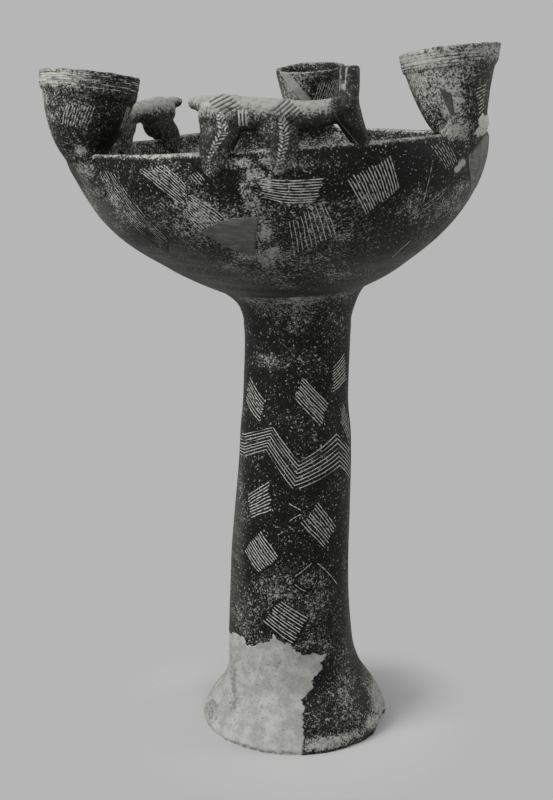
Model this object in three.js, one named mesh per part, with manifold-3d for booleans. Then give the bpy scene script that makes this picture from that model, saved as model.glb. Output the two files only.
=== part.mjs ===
// Pedestal bowl of hand-built, incised and burnished earthenware.
// A wide deep bowl stands on a tall hollow stem with a spreading foot. Its rim carries three
// small cups and two long-bodied horned animals that stand astride the wall. Old breaks are
// made good with plaster: a large one in the foot and smaller ones in the bowl and the cups.
//
// Millimetres, +Z up, standing on z = 0, with the front towards -Y. Places on the rim are
// given by an angle, counted from +X towards +Y, a distance out from the outer wall, and a
// height over the lip.

import * as THREE from 'three';
import { mergeVertices } from 'three/addons/utils/BufferGeometryUtils.js';
import { ParametricGeometry } from 'three/addons/geometries/ParametricGeometry.js';
import Module from 'manifold-3d';

const wasm = await Module();
wasm.setup();

// Bowl
const rimHeight = 625;
const bowlRadius = 210;
const bowlDepth = 170;
const bowlWall = 9;
const bowlFloor = 13;
const bowlSegments = 48;
const bowlSidePower = 1.32;
const bowlDepthPower = 2.05;
const rimRise = 0.045;
const bowlShiftAtRim = -20.5;
const bowlShiftAtTip = -8;

// Stem and foot
const footRadius = 100;
const footSpread = 90;
const stemRadius = 54.6;
const stemWall = 10.5;
const footWall = 15;
const stemSegments = 36;
const upperStemLength = 132;
const jointLap = 16;
const collarWidth = 18;
const collarRise = 36;

// Cups: each leans in over the bowl, its lip tips in as much or less, and its outer side can be
// drawn in under the collar
const cupWall = 6.5;
const cupSegments = 24;
const cups = [
  { name: 'cup_left', angle: 210, radius: 46, height: 72, lean: 9, tip: 9, drawnIn: 0 },
  { name: 'cup_right', angle: -34.6, radius: 46, height: 79.5, lean: 10.3, tip: 5, drawnIn: 6.5 },
  { name: 'cup_back', angle: 78.5, radius: 39, height: 72, lean: 9, tip: 9, drawnIn: 0 },
];

// Animals on the rim: the angle of the tail's tip, and the way they face, seen from above
const animals = [
  { name: 'front_bull', angle: -111, length: 163, rise: 1 },
  { name: 'back_bull', angle: 121.5, length: 165, rise: 0.94 },
];

// What is cut to fit its neighbour keeps this gap to it
const gap = 0.3;

// Finishes
const clay = { color: 0x2e2e2a, roughness: 0.45, metalness: 0 };
const paleClay = { color: 0x4a4a45, roughness: 0.6, metalness: 0 };
const plaster = { color: 0xa3a49f, roughness: 0.9, metalness: 0 };
const darkPlaster = { color: 0x4c4d49, roughness: 0.7, metalness: 0 };

// Shaping and cutting

/** A smooth value through [place, value] stations, level before the first and after the last. */
function through(stations) {
  const last = stations.length - 1;
  const slope = (i) => {
    if (i === 0 || i === last) return 0;
    const [before, after] = [stations[i - 1], stations[i + 1]];
    return (after[1] - before[1]) / (after[0] - before[0]);
  };
  return (place) => {
    if (place <= stations[0][0]) return stations[0][1];
    if (place >= stations[last][0]) return stations[last][1];
    const i = stations.findIndex((station) => station[0] > place) - 1;
    const [p0, v0] = stations[i];
    const [p1, v1] = stations[i + 1];
    const span = p1 - p0;
    const t = (place - p0) / span;
    const bend = t * t * (3 - 2 * t);
    const leave = span * slope(i) * t * (1 - t) ** 2;
    const arrive = span * slope(i + 1) * t * t * (1 - t);
    return v0 + (v1 - v0) * bend + leave - arrive;
  };
}

/** A closed geometry as a solid that can be joined to others or cut. */
function solidOf(geometry) {
  const bare = geometry.clone();
  bare.deleteAttribute('normal');
  bare.deleteAttribute('uv');
  const merged = mergeVertices(bare, 1e-4);
  const corners = merged.index.array;
  const faces = [];
  for (let i = 0; i < corners.length; i += 3) {
    const [a, b, c] = [corners[i], corners[i + 1], corners[i + 2]];
    if (a !== b && b !== c && c !== a) faces.push(a, b, c);
  }
  const vertProperties = Float32Array.from(merged.attributes.position.array);
  return new wasm.Manifold(new wasm.Mesh({
    numProp: 3, vertProperties, triVerts: Uint32Array.from(faces),
  }));
}

/** A solid's faces as a geometry for a mesh. */
function geometryOf(solid) {
  const faces = solid.getMesh();
  const geometry = new THREE.BufferGeometry();
  geometry.setAttribute('position', new THREE.BufferAttribute(faces.vertProperties, 3));
  geometry.setIndex(new THREE.BufferAttribute(faces.triVerts, 1));
  geometry.computeVertexNormals();
  return geometry;
}

/** Moves every point of a geometry by a function of its place. */
function reshape(geometry, move) {
  const position = geometry.attributes.position;
  const point = new THREE.Vector3();
  for (let i = 0; i < position.count; i += 1) {
    move(point.fromBufferAttribute(position, i));
    position.setXYZ(i, point.x, point.y, point.z);
  }
  return geometry;
}

/** A turned form about +Z from a profile of [radius, height] points. */
function turned(profile, segments) {
  const points = profile.map(([radius, height]) => new THREE.Vector2(radius, height));
  return new THREE.LatheGeometry(points, segments).rotateX(Math.PI / 2);
}

/** Even steps from one value to another, both ends included. */
function steps(from, to, count) {
  return Array.from({ length: count + 1 }, (_, i) => from + (to - from) * i / count);
}

/** Draws a flat outline in or out by a distance, each corner along its own middle line. */
function offsetOutline(points, distance) {
  const turn = Math.sign(THREE.ShapeUtils.area(points.map(([x, y]) => new THREE.Vector2(x, y))));
  return points.map(([x, y], i) => {
    const [bx, by] = points[(i + points.length - 1) % points.length];
    const [ax, ay] = points[(i + 1) % points.length];
    const along = new THREE.Vector2(x - bx, y - by).normalize();
    const onward = new THREE.Vector2(ax - x, ay - y).normalize();
    const out = along.add(onward).normalize().multiplyScalar(distance * turn);
    return [x + out.y, y - out.x];
  });
}

/** A block with a jagged outline in X and Z that reaches from one Y to another. */
function breakBlock(outline, fromY, toY, grow) {
  const corners = offsetOutline(outline, grow).map(([x, z]) => new THREE.Vector2(x, z));
  const block = new THREE.ExtrudeGeometry(new THREE.Shape(corners), {
    depth: toY - fromY, bevelEnabled: false, steps: 1,
  });
  return solidOf(block.rotateX(Math.PI / 2).translate(0, toY, 0));
}

/** Splits a wall along a break: the old clay that is left, and the plaster that fills it. */
function mended(wall, outline, fromY, toY) {
  const old = wall.subtract(breakBlock(outline, fromY, toY, gap / 2));
  const fill = wall.intersect(breakBlock(outline, fromY, toY, -gap / 2));
  return { old, fill };
}

// The bowl's own space: it is thrown round and level, and then leans and slides as one piece

const tipHeight = rimHeight - bowlDepth;

/** Where a point of the round and level bowl really lies: up to the right and off the stem. */
function asFired(point) {
  const share = THREE.MathUtils.clamp((point.z - tipHeight) / bowlDepth, 0, 1);
  point.z += rimRise * point.x * share;
  point.x += THREE.MathUtils.lerp(bowlShiftAtTip, bowlShiftAtRim, share);
  return point;
}

/** The bowl's outline as [radius, height] at an angle of 0 at the lip and a right angle at the tip. */
function bowlOutline(angle, radius, depth) {
  const side = Math.max(Math.cos(angle), 0) ** (2 / bowlSidePower);
  const drop = Math.max(Math.sin(angle), 0) ** (2 / bowlDepthPower);
  return [radius * side, rimHeight - bowlWall / 2 - (depth - bowlWall / 2) * drop];
}

const quarter = Math.PI / 2;

/** The bowl as a closed wall, fattened by a clearance on every side. */
function bowlWallSolid(clearance) {
  const outer = steps(quarter, 0, 11).map((angle) => (
    bowlOutline(angle, bowlRadius + clearance, bowlDepth + clearance)));
  const lipRadius = bowlWall / 2 + clearance;
  const lip = steps(0, Math.PI, 4).slice(1, -1).map((angle) => [
    bowlRadius - bowlWall / 2 + lipRadius * Math.cos(angle),
    rimHeight - bowlWall / 2 + lipRadius * Math.sin(angle),
  ]);
  const inner = steps(0, quarter, 9).map((angle) => (
    bowlOutline(angle, bowlRadius - bowlWall - clearance, bowlDepth - bowlFloor - clearance)));
  return solidOf(reshape(turned([...outer, ...lip, ...inner], bowlSegments), asFired));
}

/** The whole mass inside the bowl's outside, to cut the seat in the stem. */
function bowlMass(clearance) {
  const outer = steps(quarter, 0, 11).map((angle) => (
    bowlOutline(angle, bowlRadius + clearance, bowlDepth + clearance)));
  return solidOf(reshape(turned([...outer, [0, rimHeight]], bowlSegments), asFired));
}

// The stem and its foot

/** The height at which the bowl's outside has a given radius. */
function bowlHeightAt(radius) {
  const side = (radius / bowlRadius) ** bowlSidePower;
  return rimHeight - bowlDepth * (1 - side) ** (1 / bowlDepthPower);
}

const seatHeight = bowlHeightAt(stemRadius + collarWidth);
const collarFoot = seatHeight - collarRise;
const sectionJoint = seatHeight - upperStemLength;

// Heights on the stem, as shares of its three stretches
const onSpread = (share) => footSpread * share;
const onLowerStem = (share) => THREE.MathUtils.lerp(footSpread, sectionJoint, share);
const onUpperStem = (share) => THREE.MathUtils.lerp(sectionJoint, seatHeight, share);

/** How far the stem's middle strays from upright: it was built by hand and leans a little. */
const stemAxis = through([
  [0, 0], [onSpread(0.2), 2], [onSpread(0.4), 3], [onSpread(0.67), -1], [onSpread(1), -4.8],
  [onLowerStem(0.345), -5.9], [onLowerStem(0.61), -2.8], [onLowerStem(0.82), -0.3],
  [onUpperStem(0.13), 0], [onUpperStem(0.61), 1.8], [onUpperStem(1), 0.5],
]);

// The lower stem swells a little over the joint, so that the upper stem seems to stand in it
const jointSwell = 12;

/** The stem's outside: narrow above, swelling downwards, then spreading into the foot. */
const stemOutside = through([
  [0, footRadius - 1.5], [onSpread(0.055), footRadius], [onSpread(0.2), footRadius * 0.95],
  [onSpread(0.4), footRadius * 0.84], [onSpread(0.6), stemRadius + 20],
  [onSpread(0.8), stemRadius + 15.4], [onSpread(1), stemRadius + 13.4],
  [onLowerStem(0.21), stemRadius + 10], [onLowerStem(0.48), stemRadius + 8],
  [onLowerStem(0.81), stemRadius + 4.6], [sectionJoint - jointSwell, stemRadius + 3.6],
  [sectionJoint, stemRadius + 1.6], [onUpperStem(0.13), stemRadius + 0.4],
  [onUpperStem(0.6), stemRadius], [collarFoot, stemRadius + 0.8],
]);

const wallThickness = through([
  [0, footWall], [onSpread(0.4), footWall * 0.85], [onSpread(0.9), stemWall], [rimHeight, stemWall],
]);

const stemBore = (height) => stemOutside(Math.min(height, collarFoot)) - wallThickness(height);

const leanStem = (point) => {
  point.x += stemAxis(point.z);
  return point;
};

// The collar's flare, as a share of its width at a share of its rise, counted from the seat
const collarFlare = through([[-1, 0.04], [-0.61, 0.21], [-0.28, 0.53], [-0.08, 0.89], [0.17, 1.06]]);

/** The upper stem flares into a luted collar under the bowl. */
function collarOutside(height) {
  return stemRadius + collarWidth * collarFlare((height - seatHeight) / collarRise);
}

function upperStem() {
  const foot = sectionJoint;
  const top = seatHeight + collarRise * 0.17;
  const outside = (height) => (height < collarFoot ? stemOutside(height) : collarOutside(height));
  const heights = [
    ...steps(foot, collarFoot, 3), ...steps(collarFoot, seatHeight - collarRise * 0.08, 5).slice(1), top,
  ];
  const tongue = [
    [stemBore(foot - jointLap) + stemWall * 0.4, foot - jointLap],
    [stemBore(foot) + stemWall * 0.55, foot],
  ];
  const outer = heights.map((height) => [outside(height), height]);
  const inner = [top, collarFoot, foot].map((height) => [stemBore(height), height]);
  const bore = [stemBore(foot - jointLap), foot - jointLap];
  const profile = [tongue[0], tongue[1], ...outer, ...inner, bore, tongue[0]];
  return solidOf(reshape(turned(profile, stemSegments), leanStem)).subtract(bowlMass(gap));
}

function lowerStem() {
  const top = sectionJoint - gap;
  const heights = [
    ...[0, 0.055, 0.13, 0.22, 0.33, 0.47, 0.62, 0.8, 1].map(onSpread),
    ...steps(0.12, 0.84, 4).map(onLowerStem),
    sectionJoint - jointSwell,
    top,
  ];
  const outer = heights.map((height) => [stemOutside(height), height]);
  const lapFoot = sectionJoint - jointLap - gap;
  const mouth = [
    [stemBore(sectionJoint) + stemWall * 0.55 + gap, top],
    [stemBore(lapFoot) + stemWall * 0.4 + gap, lapFoot],
    [stemBore(lapFoot), lapFoot],
  ];
  const inner = [
    ...[0.84, 0.59, 0.345, 0.12].map(onLowerStem), ...[0.89, 0.62, 0.4, 0.2, 0].map(onSpread),
  ].map((height) => [stemBore(height), height]);
  const profile = [...outer, ...mouth, ...inner, outer[0]];
  return solidOf(reshape(turned(profile, stemSegments), leanStem)).subtract(footChip());
}

/** A chip knocked out of the foot's edge, on the right of the front. */
function footChip() {
  const chip = new THREE.IcosahedronGeometry(footRadius * 0.17, 1).scale(1.3, 0.8, 0.55);
  return solidOf(chip.rotateZ(-0.9).translate(footRadius * 0.87, -footRadius * 0.62, -1));
}

// The break in the foot: its edge climbs over the front, and the fill wraps round to the left.
// Across as shares of the foot's radius, up as shares of the height over which it spreads.
const footBreak = [
  [-1.3, -0.11], [0.08, -0.11], [0.07, 0.31], [0.09, 0.46], [0.05, 0.56], [0.2, 0.69],
  [0.18, 0.79], [0.3, 0.87], [0.27, 0.96], [0.33, 1.03], [0.08, 1.07], [0, 1.13],
  [-0.07, 1.23], [-0.24, 1.32], [-0.27, 1.23], [-0.45, 1.13], [-0.53, 1.12], [-0.56, 1.2],
  [-0.71, 1.09], [-1.3, 1.04],
];

// Breaks in the bowl's wall: a wedge in the front, and a strip down the right side.
// Across as shares of the bowl's radius, up from the rim as shares of its depth.
const bowlFrontBreak = [
  [-0.395, -0.43], [-0.186, -0.365], [-0.171, -0.406], [-0.195, -0.553], [-0.324, -0.524],
];
const bowlSideBreak = [
  [0.805, 0.118], [0.905, 0.118], [0.89, -0.076], [0.862, -0.171], [0.824, -0.265],
  [0.786, -0.218], [0.8, -0.129], [0.819, -0.029],
];

/** An outline given in shares of a width and a height, set out from a place. */
function drawn(outline, place, width, height) {
  return outline.map(([x, z]) => [place.x + x * width, place.z + z * height]);
}

// Cups

/** A cup's outside above the lip, as a share of its radius at a share of its height. */
const cupOutside = through([
  [-0.22, 0.12], [-0.14, 0.36], [0, 0.5], [0.12, 0.56], [0.24, 0.65], [0.42, 0.76], [0.6, 0.85],
  [0.76, 0.92], [0.8, 0.97], [1, 1],
]);

/** One cup, round about +Z over its seat: a bowed cone with a flat collar, open at the top. */
function cupGeometry({ radius, height }) {
  const outer = [-0.22, -0.15, -0.06, 0.04, 0.16, 0.3, 0.46, 0.62, 0.76, 0.8, 0.97]
    .map((share) => [radius * cupOutside(share), height * share]);
  const lip = [
    [radius - cupWall * 0.2, height * 0.99], [radius - cupWall * 0.5, height],
    [radius - cupWall * 0.85, height * 0.99],
  ];
  const inner = [0.95, 0.75, 0.55, 0.37, 0.2]
    .map((share) => [radius * cupOutside(share) - cupWall, height * share]);
  const floor = [[radius * 0.25, height * 0.155], [0, height * 0.14]];
  return turned([[0, -height * 0.21], ...outer, ...lip, ...inner, ...floor], cupSegments);
}

/** Stands a cup on the middle of the rim: its middle line slides in, and then it tips in. */
function placeCup(geometry, { angle, height, lean, tip, drawnIn }) {
  const out = bowlRadius - bowlWall / 2;
  const slide = Math.tan(THREE.MathUtils.degToRad(lean - tip));
  reshape(geometry, (point) => {
    const share = THREE.MathUtils.clamp(point.z / height, 0, 1);
    const facing = point.x / Math.max(Math.hypot(point.x, point.y), 1);
    point.x -= slide * point.z + drawnIn * Math.sin(Math.PI * share) * (1 + facing) / 2;
  });
  return geometry.rotateY(THREE.MathUtils.degToRad(-tip)).translate(out, 0, rimHeight)
    .rotateZ(THREE.MathUtils.degToRad(angle));
}

function cupSolid(cup) {
  const solid = solidOf(reshape(placeCup(cupGeometry(cup), cup), asFired));
  return solid.subtract(bowlWallSolid(gap));
}

/** The middle of a cup's seat on the rim. */
function cupSeat({ angle }) {
  const turn = THREE.MathUtils.degToRad(angle);
  const out = bowlRadius - bowlWall / 2;
  return asFired(new THREE.Vector3(out * Math.cos(turn), out * Math.sin(turn), rimHeight));
}

// Breaks in two of the cups, seen from the front, as shares of the cup's radius and height
const rightCupBreak = [[-0.42, 0.19], [-0.24, 0.18], [-0.2, 0.34], [-0.25, 0.46], [-0.5, 0.53]];
const backCupBreak = [
  [-1.55, 0.517], [-0.68, 0.475], [-0.244, 0.503], [-0.295, 0.794], [-0.218, 1.43], [-1.55, 1.43],
];

/** A cup split along a break that reaches from one share of its radius to another in Y. */
function mendedCup(cup, solid, outline, from, to) {
  const seat = cupSeat(cup);
  const placed = drawn(outline, seat, cup.radius, cup.height);
  return mended(solid, placed, seat.y + from * cup.radius, seat.y + to * cup.radius);
}

// Animals

/** A point on the rim: along it from an angle, out from the outer wall and over the lip. */
function onRim(startAngle, along, out, up, target) {
  const angle = THREE.MathUtils.degToRad(startAngle) + along / bowlRadius;
  const radius = bowlRadius + out;
  target.set(radius * Math.cos(angle), radius * Math.sin(angle), rimHeight + up);
  return asFired(target);
}

// How bluntly a limb's ends are rounded
const domePower = 14;

/**
 * A limb of clay: a rounded bar along a path on the rim. Each station is
 * [along, out, up, half height, half width]; both ends close in a dome.
 */
function limb(startAngle, stations, { around = 9, rings = 9, swell = 0 } = {}) {
  const path = new THREE.CatmullRomCurve3(stations.map(([s, w, h]) => new THREE.Vector3(s, w, h)));
  const last = stations.length - 1;
  const halfHeight = through(stations.map((station, i) => [i / last, station[3] + swell]));
  const halfWidth = through(stations.map((station, i) => [i / last, station[4] + swell]));
  const sideways = new THREE.Vector3(0, 1, 0);
  const surface = (u, v, target) => {
    const t = (1 - Math.cos(Math.PI * u)) / 2;
    const dome = Math.sqrt(Math.max(1 - Math.abs(2 * t - 1) ** domePower, 0));
    const centre = path.getPoint(t);
    const heading = path.getTangent(t);
    const across = sideways.clone().addScaledVector(heading, -heading.y).normalize();
    const upward = heading.clone().cross(across);
    const turn = -2 * Math.PI * v;
    centre.addScaledVector(upward, halfHeight(t) * dome * Math.cos(turn));
    centre.addScaledVector(across, halfWidth(t) * dome * Math.sin(turn));
    onRim(startAngle, centre.x, centre.y, centre.z, target);
  };
  return solidOf(new ParametricGeometry(surface, rings, around));
}

const wallMiddle = -bowlWall / 2;

/** The stations of an animal's parts, for one of the stated length over all. */
function animalStations({ length, rise }) {
  const unit = length / 163;
  const at = (s, w, h, a, b) => [s * unit, wallMiddle + w, h * rise, a, b];
  const leg = (s, side, spread) => [
    at(s + 1.5, 4 * side, 29, 15 * spread, 6.2),
    at(s + 1, 7.6 * side, 16, 13 * spread, 6.8),
    at(s, 8 * side, 4, 11.8 * spread, 6.8),
    at(s - 2, 8 * side, -6, 11.5 * spread, 5.6),
    at(s - 4.5, 6.8 * side - 0.5, -15, 9.5 * spread, 4),
    at(s - 7, 6 * side - 2.2, -23, 7 * spread, 3),
  ];
  const horn = (side) => [
    at(139.5, 5.6 * side, 33, 8, 4.8), at(141, 6.2 * side, 50, 7, 4.8), at(141.5, 7.5 * side, 67, 6.2, 4.6),
  ];
  return {
    body: [
      at(12, 0, 31, 13, 10), at(27, 0, 31.5, 16.5, 13), at(55, 0, 30, 15, 12),
      at(84, 0, 28, 14, 12.5), at(112, 0, 28, 12, 10), at(142, 0, 34, 12, 9),
    ],
    head: [
      at(142, 0, 52, 8, 7.5), at(141, 0, 39, 11, 9), at(141.5, 0, 27, 12.5, 9.4),
      at(147, 0, 15, 10.5, 8), at(153, 0, 6, 8.5, 7), at(157, 0, -1, 7, 6.2),
    ],
    hornOuter: horn(1),
    hornInner: horn(-1),
    tail: [at(23, 0, 38, 9, 8), at(10, 0, 41, 6.5, 6), at(0, 0, 41, 4.6, 4.6)],
    hindlegOuter: leg(26, 1, 1.15),
    hindlegInner: leg(26, -1, 1.15),
    forelegOuter: leg(83, 1, 1),
    forelegInner: leg(83, -1, 1),
  };
}

/** An animal's pieces: each joins the body or head, and the legs sit down over the wall. */
function animalSolids(animal) {
  const stations = animalStations(animal);
  const make = (part, options) => limb(animal.angle, stations[part], options);
  const rim = bowlWallSolid(gap);
  const body = make('body', { around: 13, rings: 14 }).subtract(rim);
  const grownBody = make('body', { around: 13, rings: 14, swell: gap });
  const head = make('head', { around: 11, rings: 11 }).subtract(grownBody).subtract(rim);
  const grownHead = make('head', { around: 11, rings: 11, swell: gap });
  const leg = (part) => make(part).subtract(grownBody).subtract(rim);
  const horn = (part) => make(part, { around: 8, rings: 7 }).subtract(grownHead).subtract(grownBody);
  return {
    body,
    head,
    horn_outer: horn('hornOuter'),
    horn_inner: horn('hornInner'),
    tail: make('tail', { around: 8, rings: 7 }).subtract(grownBody),
    hindleg_outer: leg('hindlegOuter'),
    hindleg_inner: leg('hindlegInner'),
    foreleg_outer: leg('forelegOuter'),
    foreleg_inner: leg('forelegInner'),
  };
}

// Assembly

const vessel = new THREE.Group();

function add(name, solid, finish) {
  const mesh = new THREE.Mesh(geometryOf(solid), new THREE.MeshStandardMaterial(finish));
  mesh.name = name;
  vessel.add(mesh);
}

function addStem() {
  add('stem_upper', upperStem(), clay);
  const outline = drawn(footBreak, new THREE.Vector3(), footRadius, footSpread);
  const { old, fill } = mended(lowerStem(), outline, -1.3 * footRadius, 0.59 * stemRadius);
  add('stem_foot', old, clay);
  add('foot_plaster_fill', fill, plaster);
}

function addBowl() {
  const onWall = (outline) => (
    drawn(outline, new THREE.Vector3(0, 0, rimHeight), bowlRadius, bowlDepth));
  const across = (share) => share * bowlRadius;
  const front = mended(bowlWallSolid(0), onWall(bowlFrontBreak), across(-1.1), across(-0.48));
  const side = mended(front.old, onWall(bowlSideBreak), across(-0.57), across(-0.095));
  add('bowl', side.old, clay);
  add('bowl_front_fill', front.fill, darkPlaster);
  add('bowl_side_fill', side.fill, darkPlaster);
}

function addCups() {
  const [left, right, back] = cups;
  add('cup_left', cupSolid(left), clay);
  const rightMended = mendedCup(right, cupSolid(right), rightCupBreak, -1.44, -0.09);
  add('cup_right', rightMended.old, clay);
  add('cup_right_fill', rightMended.fill, darkPlaster);
  const backMended = mendedCup(back, cupSolid(back), backCupBreak, -1.32, 0.09);
  add('cup_back', backMended.old, clay);
  add('cup_back_fill', backMended.fill, plaster);
}

function addAnimals() {
  for (const animal of animals) {
    for (const [part, solid] of Object.entries(animalSolids(animal))) {
      add(`${animal.name}_${part}`, solid, paleClay);
    }
  }
}

addStem();
addBowl();
addCups();
addAnimals();

// The origin is under the middle of the whole outline, on the ground
const outline = new THREE.Box3().setFromObject(vessel);
const middle = outline.getCenter(new THREE.Vector3());
vessel.position.set(-middle.x, -middle.y, -outline.min.z);

export default vessel;
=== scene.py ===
import bpy
import numpy as np
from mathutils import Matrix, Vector


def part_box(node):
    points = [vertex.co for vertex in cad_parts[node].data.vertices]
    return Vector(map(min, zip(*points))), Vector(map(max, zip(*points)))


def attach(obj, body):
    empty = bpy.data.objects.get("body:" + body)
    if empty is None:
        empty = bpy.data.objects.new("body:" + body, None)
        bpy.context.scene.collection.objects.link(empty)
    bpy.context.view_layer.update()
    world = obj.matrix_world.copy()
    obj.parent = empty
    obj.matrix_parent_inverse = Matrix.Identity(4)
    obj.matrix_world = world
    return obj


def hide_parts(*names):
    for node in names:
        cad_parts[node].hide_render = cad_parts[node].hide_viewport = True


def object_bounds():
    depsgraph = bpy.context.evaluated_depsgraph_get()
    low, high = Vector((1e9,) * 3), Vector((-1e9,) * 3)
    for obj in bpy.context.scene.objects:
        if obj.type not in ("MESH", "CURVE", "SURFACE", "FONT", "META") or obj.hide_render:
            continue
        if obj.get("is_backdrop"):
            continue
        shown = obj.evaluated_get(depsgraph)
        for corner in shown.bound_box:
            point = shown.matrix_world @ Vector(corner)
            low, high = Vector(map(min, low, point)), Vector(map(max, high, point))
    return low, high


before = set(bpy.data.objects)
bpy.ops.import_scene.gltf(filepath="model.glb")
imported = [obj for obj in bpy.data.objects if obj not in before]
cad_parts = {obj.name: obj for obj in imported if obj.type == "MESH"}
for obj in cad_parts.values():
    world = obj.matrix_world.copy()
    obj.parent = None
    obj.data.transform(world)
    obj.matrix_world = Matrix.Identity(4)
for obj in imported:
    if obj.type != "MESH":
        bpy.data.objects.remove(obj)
cad_low, cad_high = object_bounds()

# Stem and foot. A tall hollow stem of coil-built clay, swelling downwards and spreading into the
# foot. It was luted to the bowl with a smoothed collar of clay, burnished when leather-hard, and
# scratched with a comb: panels of slanting lines, a zigzag band, loose scratches.

foot_radius = 0.100
foot_spread = 0.090
foot_wall = 0.015
stem_radius = 0.0546
stem_wall = 0.0105
upper_stem = 0.132
collar_width = 0.018
collar_rise = 0.036

rim_height = 0.625
bowl_radius = 0.210
bowl_depth = 0.170
bowl_wall = 0.009
bowl_floor = 0.013
side_power = 1.32
depth_power = 2.05
rim_rise = 0.045
shift_at_tip = -0.008
shift_at_rim = -0.0205

foot_overhang = 0.0003
foot_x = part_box("stem_foot")[1].x - foot_radius - foot_overhang
foot_y = (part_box("bowl")[0].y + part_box("bowl")[1].y) / 2

seat_side = ((stem_radius + collar_width) / bowl_radius) ** side_power
seat_height = rim_height - bowl_depth * (1 - seat_side) ** (1 / depth_power)
collar_foot = seat_height - collar_rise
stem_joint = seat_height - upper_stem


def through(stations, place):
    """A smooth value through (place, value) stations: between two of them the cubic whose slopes
    are those of the lines joining their neighbours, level at and past the ends."""
    x, value = np.array(stations, float).T
    slope = np.zeros_like(value)
    slope[1:-1] = (value[2:] - value[:-2]) / (x[2:] - x[:-2])
    i = np.clip(np.searchsorted(x, place, "right") - 1, 0, len(x) - 2)
    span = x[i + 1] - x[i]
    t = np.clip((place - x[i]) / span, 0, 1)
    bend = value[i] + (value[i + 1] - value[i]) * t * t * (3 - 2 * t)
    return bend + span * slope[i] * t * (1 - t) ** 2 - span * slope[i + 1] * t * t * (1 - t)


def by_hand(turn, along, size, seed):
    """Unevenness of hand building: nine waves round the pot and along it, each with whole turns
    and its own phase, each weaker as it is shorter. size is its rough reach in metres."""
    draw = np.random.default_rng(seed)
    total = 0
    for wave in range(1, 10):
        round_it = draw.integers(1, 3 + 2 * wave)
        up_it = draw.uniform(-14, 14) * wave
        phase = draw.uniform(0, 2 * np.pi)
        total = total + np.sin(round_it * turn + up_it * along + phase) / wave ** 0.8
    return size * total / 2.2


def on_spread(share):
    """A height at a share of the foot's spread."""
    return foot_spread * share


def on_lower(share):
    """A height at a share of the way from the foot's spread to the joint in the stem."""
    return foot_spread + share * (stem_joint - foot_spread)


def on_upper(share):
    """A height at a share of the way from the joint in the stem to its seat."""
    return stem_joint + share * upper_stem


stem_axis = [
    (0, 0), (on_spread(0.2), 0.002), (on_spread(0.4), 0.003), (on_spread(0.67), -0.001),
    (on_spread(1), -0.0048), (on_lower(0.345), -0.0059), (on_lower(0.61), -0.0028),
    (on_lower(0.82), -0.0003), (on_upper(0.13), 0), (on_upper(0.61), 0.0018), (on_upper(1), 0.0005),
]
stem_reach = [
    (0, 0.1005), (on_spread(0.055), 0.1012), (on_spread(0.2), 0.0955), (on_spread(0.4), 0.084),
    (on_spread(0.6), stem_radius + 0.020), (on_spread(0.8), stem_radius + 0.0154),
    (on_spread(1), stem_radius + 0.0134), (on_lower(0.21), stem_radius + 0.010),
    (on_lower(0.48), stem_radius + 0.008), (on_lower(0.81), stem_radius + 0.0046),
    (stem_joint - 0.018, stem_radius + 0.0034), (stem_joint + 0.002, stem_radius + 0.0014),
    (on_upper(0.13), stem_radius + 0.0004), (on_upper(0.6), stem_radius),
    (collar_foot, stem_radius + 0.0008),
]
collar_flare = [(-1, 0.04), (-0.61, 0.21), (-0.28, 0.53), (-0.08, 0.89), (0.17, 1.06)]
wall_stations = [(0, foot_wall), (on_spread(0.4), foot_wall * 0.85), (on_spread(0.9), stem_wall)]
rough_below = 0.016


def stem_outside(turn, height):
    """The stem's outside: a circle about its straying middle line, whose radius runs through the
    stations, then flares into the collar. The potter's unevenness is added to the radius, and
    more of it just above the ground."""
    flare = collar_width * through(collar_flare, (height - seat_height) / collar_rise)
    radius = np.where(height < collar_foot, through(stem_reach, height), stem_radius + flare)
    rough = by_hand(7 * turn, height, 0.0006, 13) + by_hand(turn, height, 0.0009, 14)
    low = np.clip(1 - height / rough_below, 0, 1)
    radius = radius + by_hand(turn, height, 0.00045, 3) + low * rough
    return np.stack([
        foot_x + through(stem_axis, height) + radius * np.cos(turn),
        foot_y + radius * np.sin(turn),
        height + 0 * turn,
    ], -1)


def directions(vectors):
    """Vectors brought to a length of one."""
    return vectors / np.maximum(np.linalg.norm(vectors, axis=-1, keepdims=True), 1e-12)


def lifted(surface, a, b, lift):
    """Points of a surface moved out along its normal, the cross product of its two slopes."""
    step = 1e-4
    across = surface(a + step, b) - surface(a - step, b)
    upward = surface(a, b + step) - surface(a, b - step)
    return surface(a, b) + directions(np.cross(across, upward)) * np.asarray(lift)[..., None]


def placed(name, data):
    """An object of the scene for a mesh, a lamp or a camera."""
    made = bpy.data.objects.new(name, data)
    bpy.context.scene.collection.objects.link(made)
    return made


def places(piece):
    """A piece's vertices as an array."""
    co = np.empty(len(piece.data.vertices) * 3, np.float32)
    piece.data.vertices.foreach_get("co", co)
    return co.reshape(-1, 3).astype(float)


def move_to(piece, co):
    """Moves a piece's vertices to these places."""
    piece.data.vertices.foreach_set("co", co.astype(np.float32).ravel())
    piece.data.update()


def mark(piece, name, values):
    """Keeps one number for each vertex, which a material reads by name."""
    layer = piece.data.attributes.get(name) or piece.data.attributes.new(name, "FLOAT", "POINT")
    layer.data.foreach_set("value", np.asarray(values, np.float32).ravel())


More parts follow.
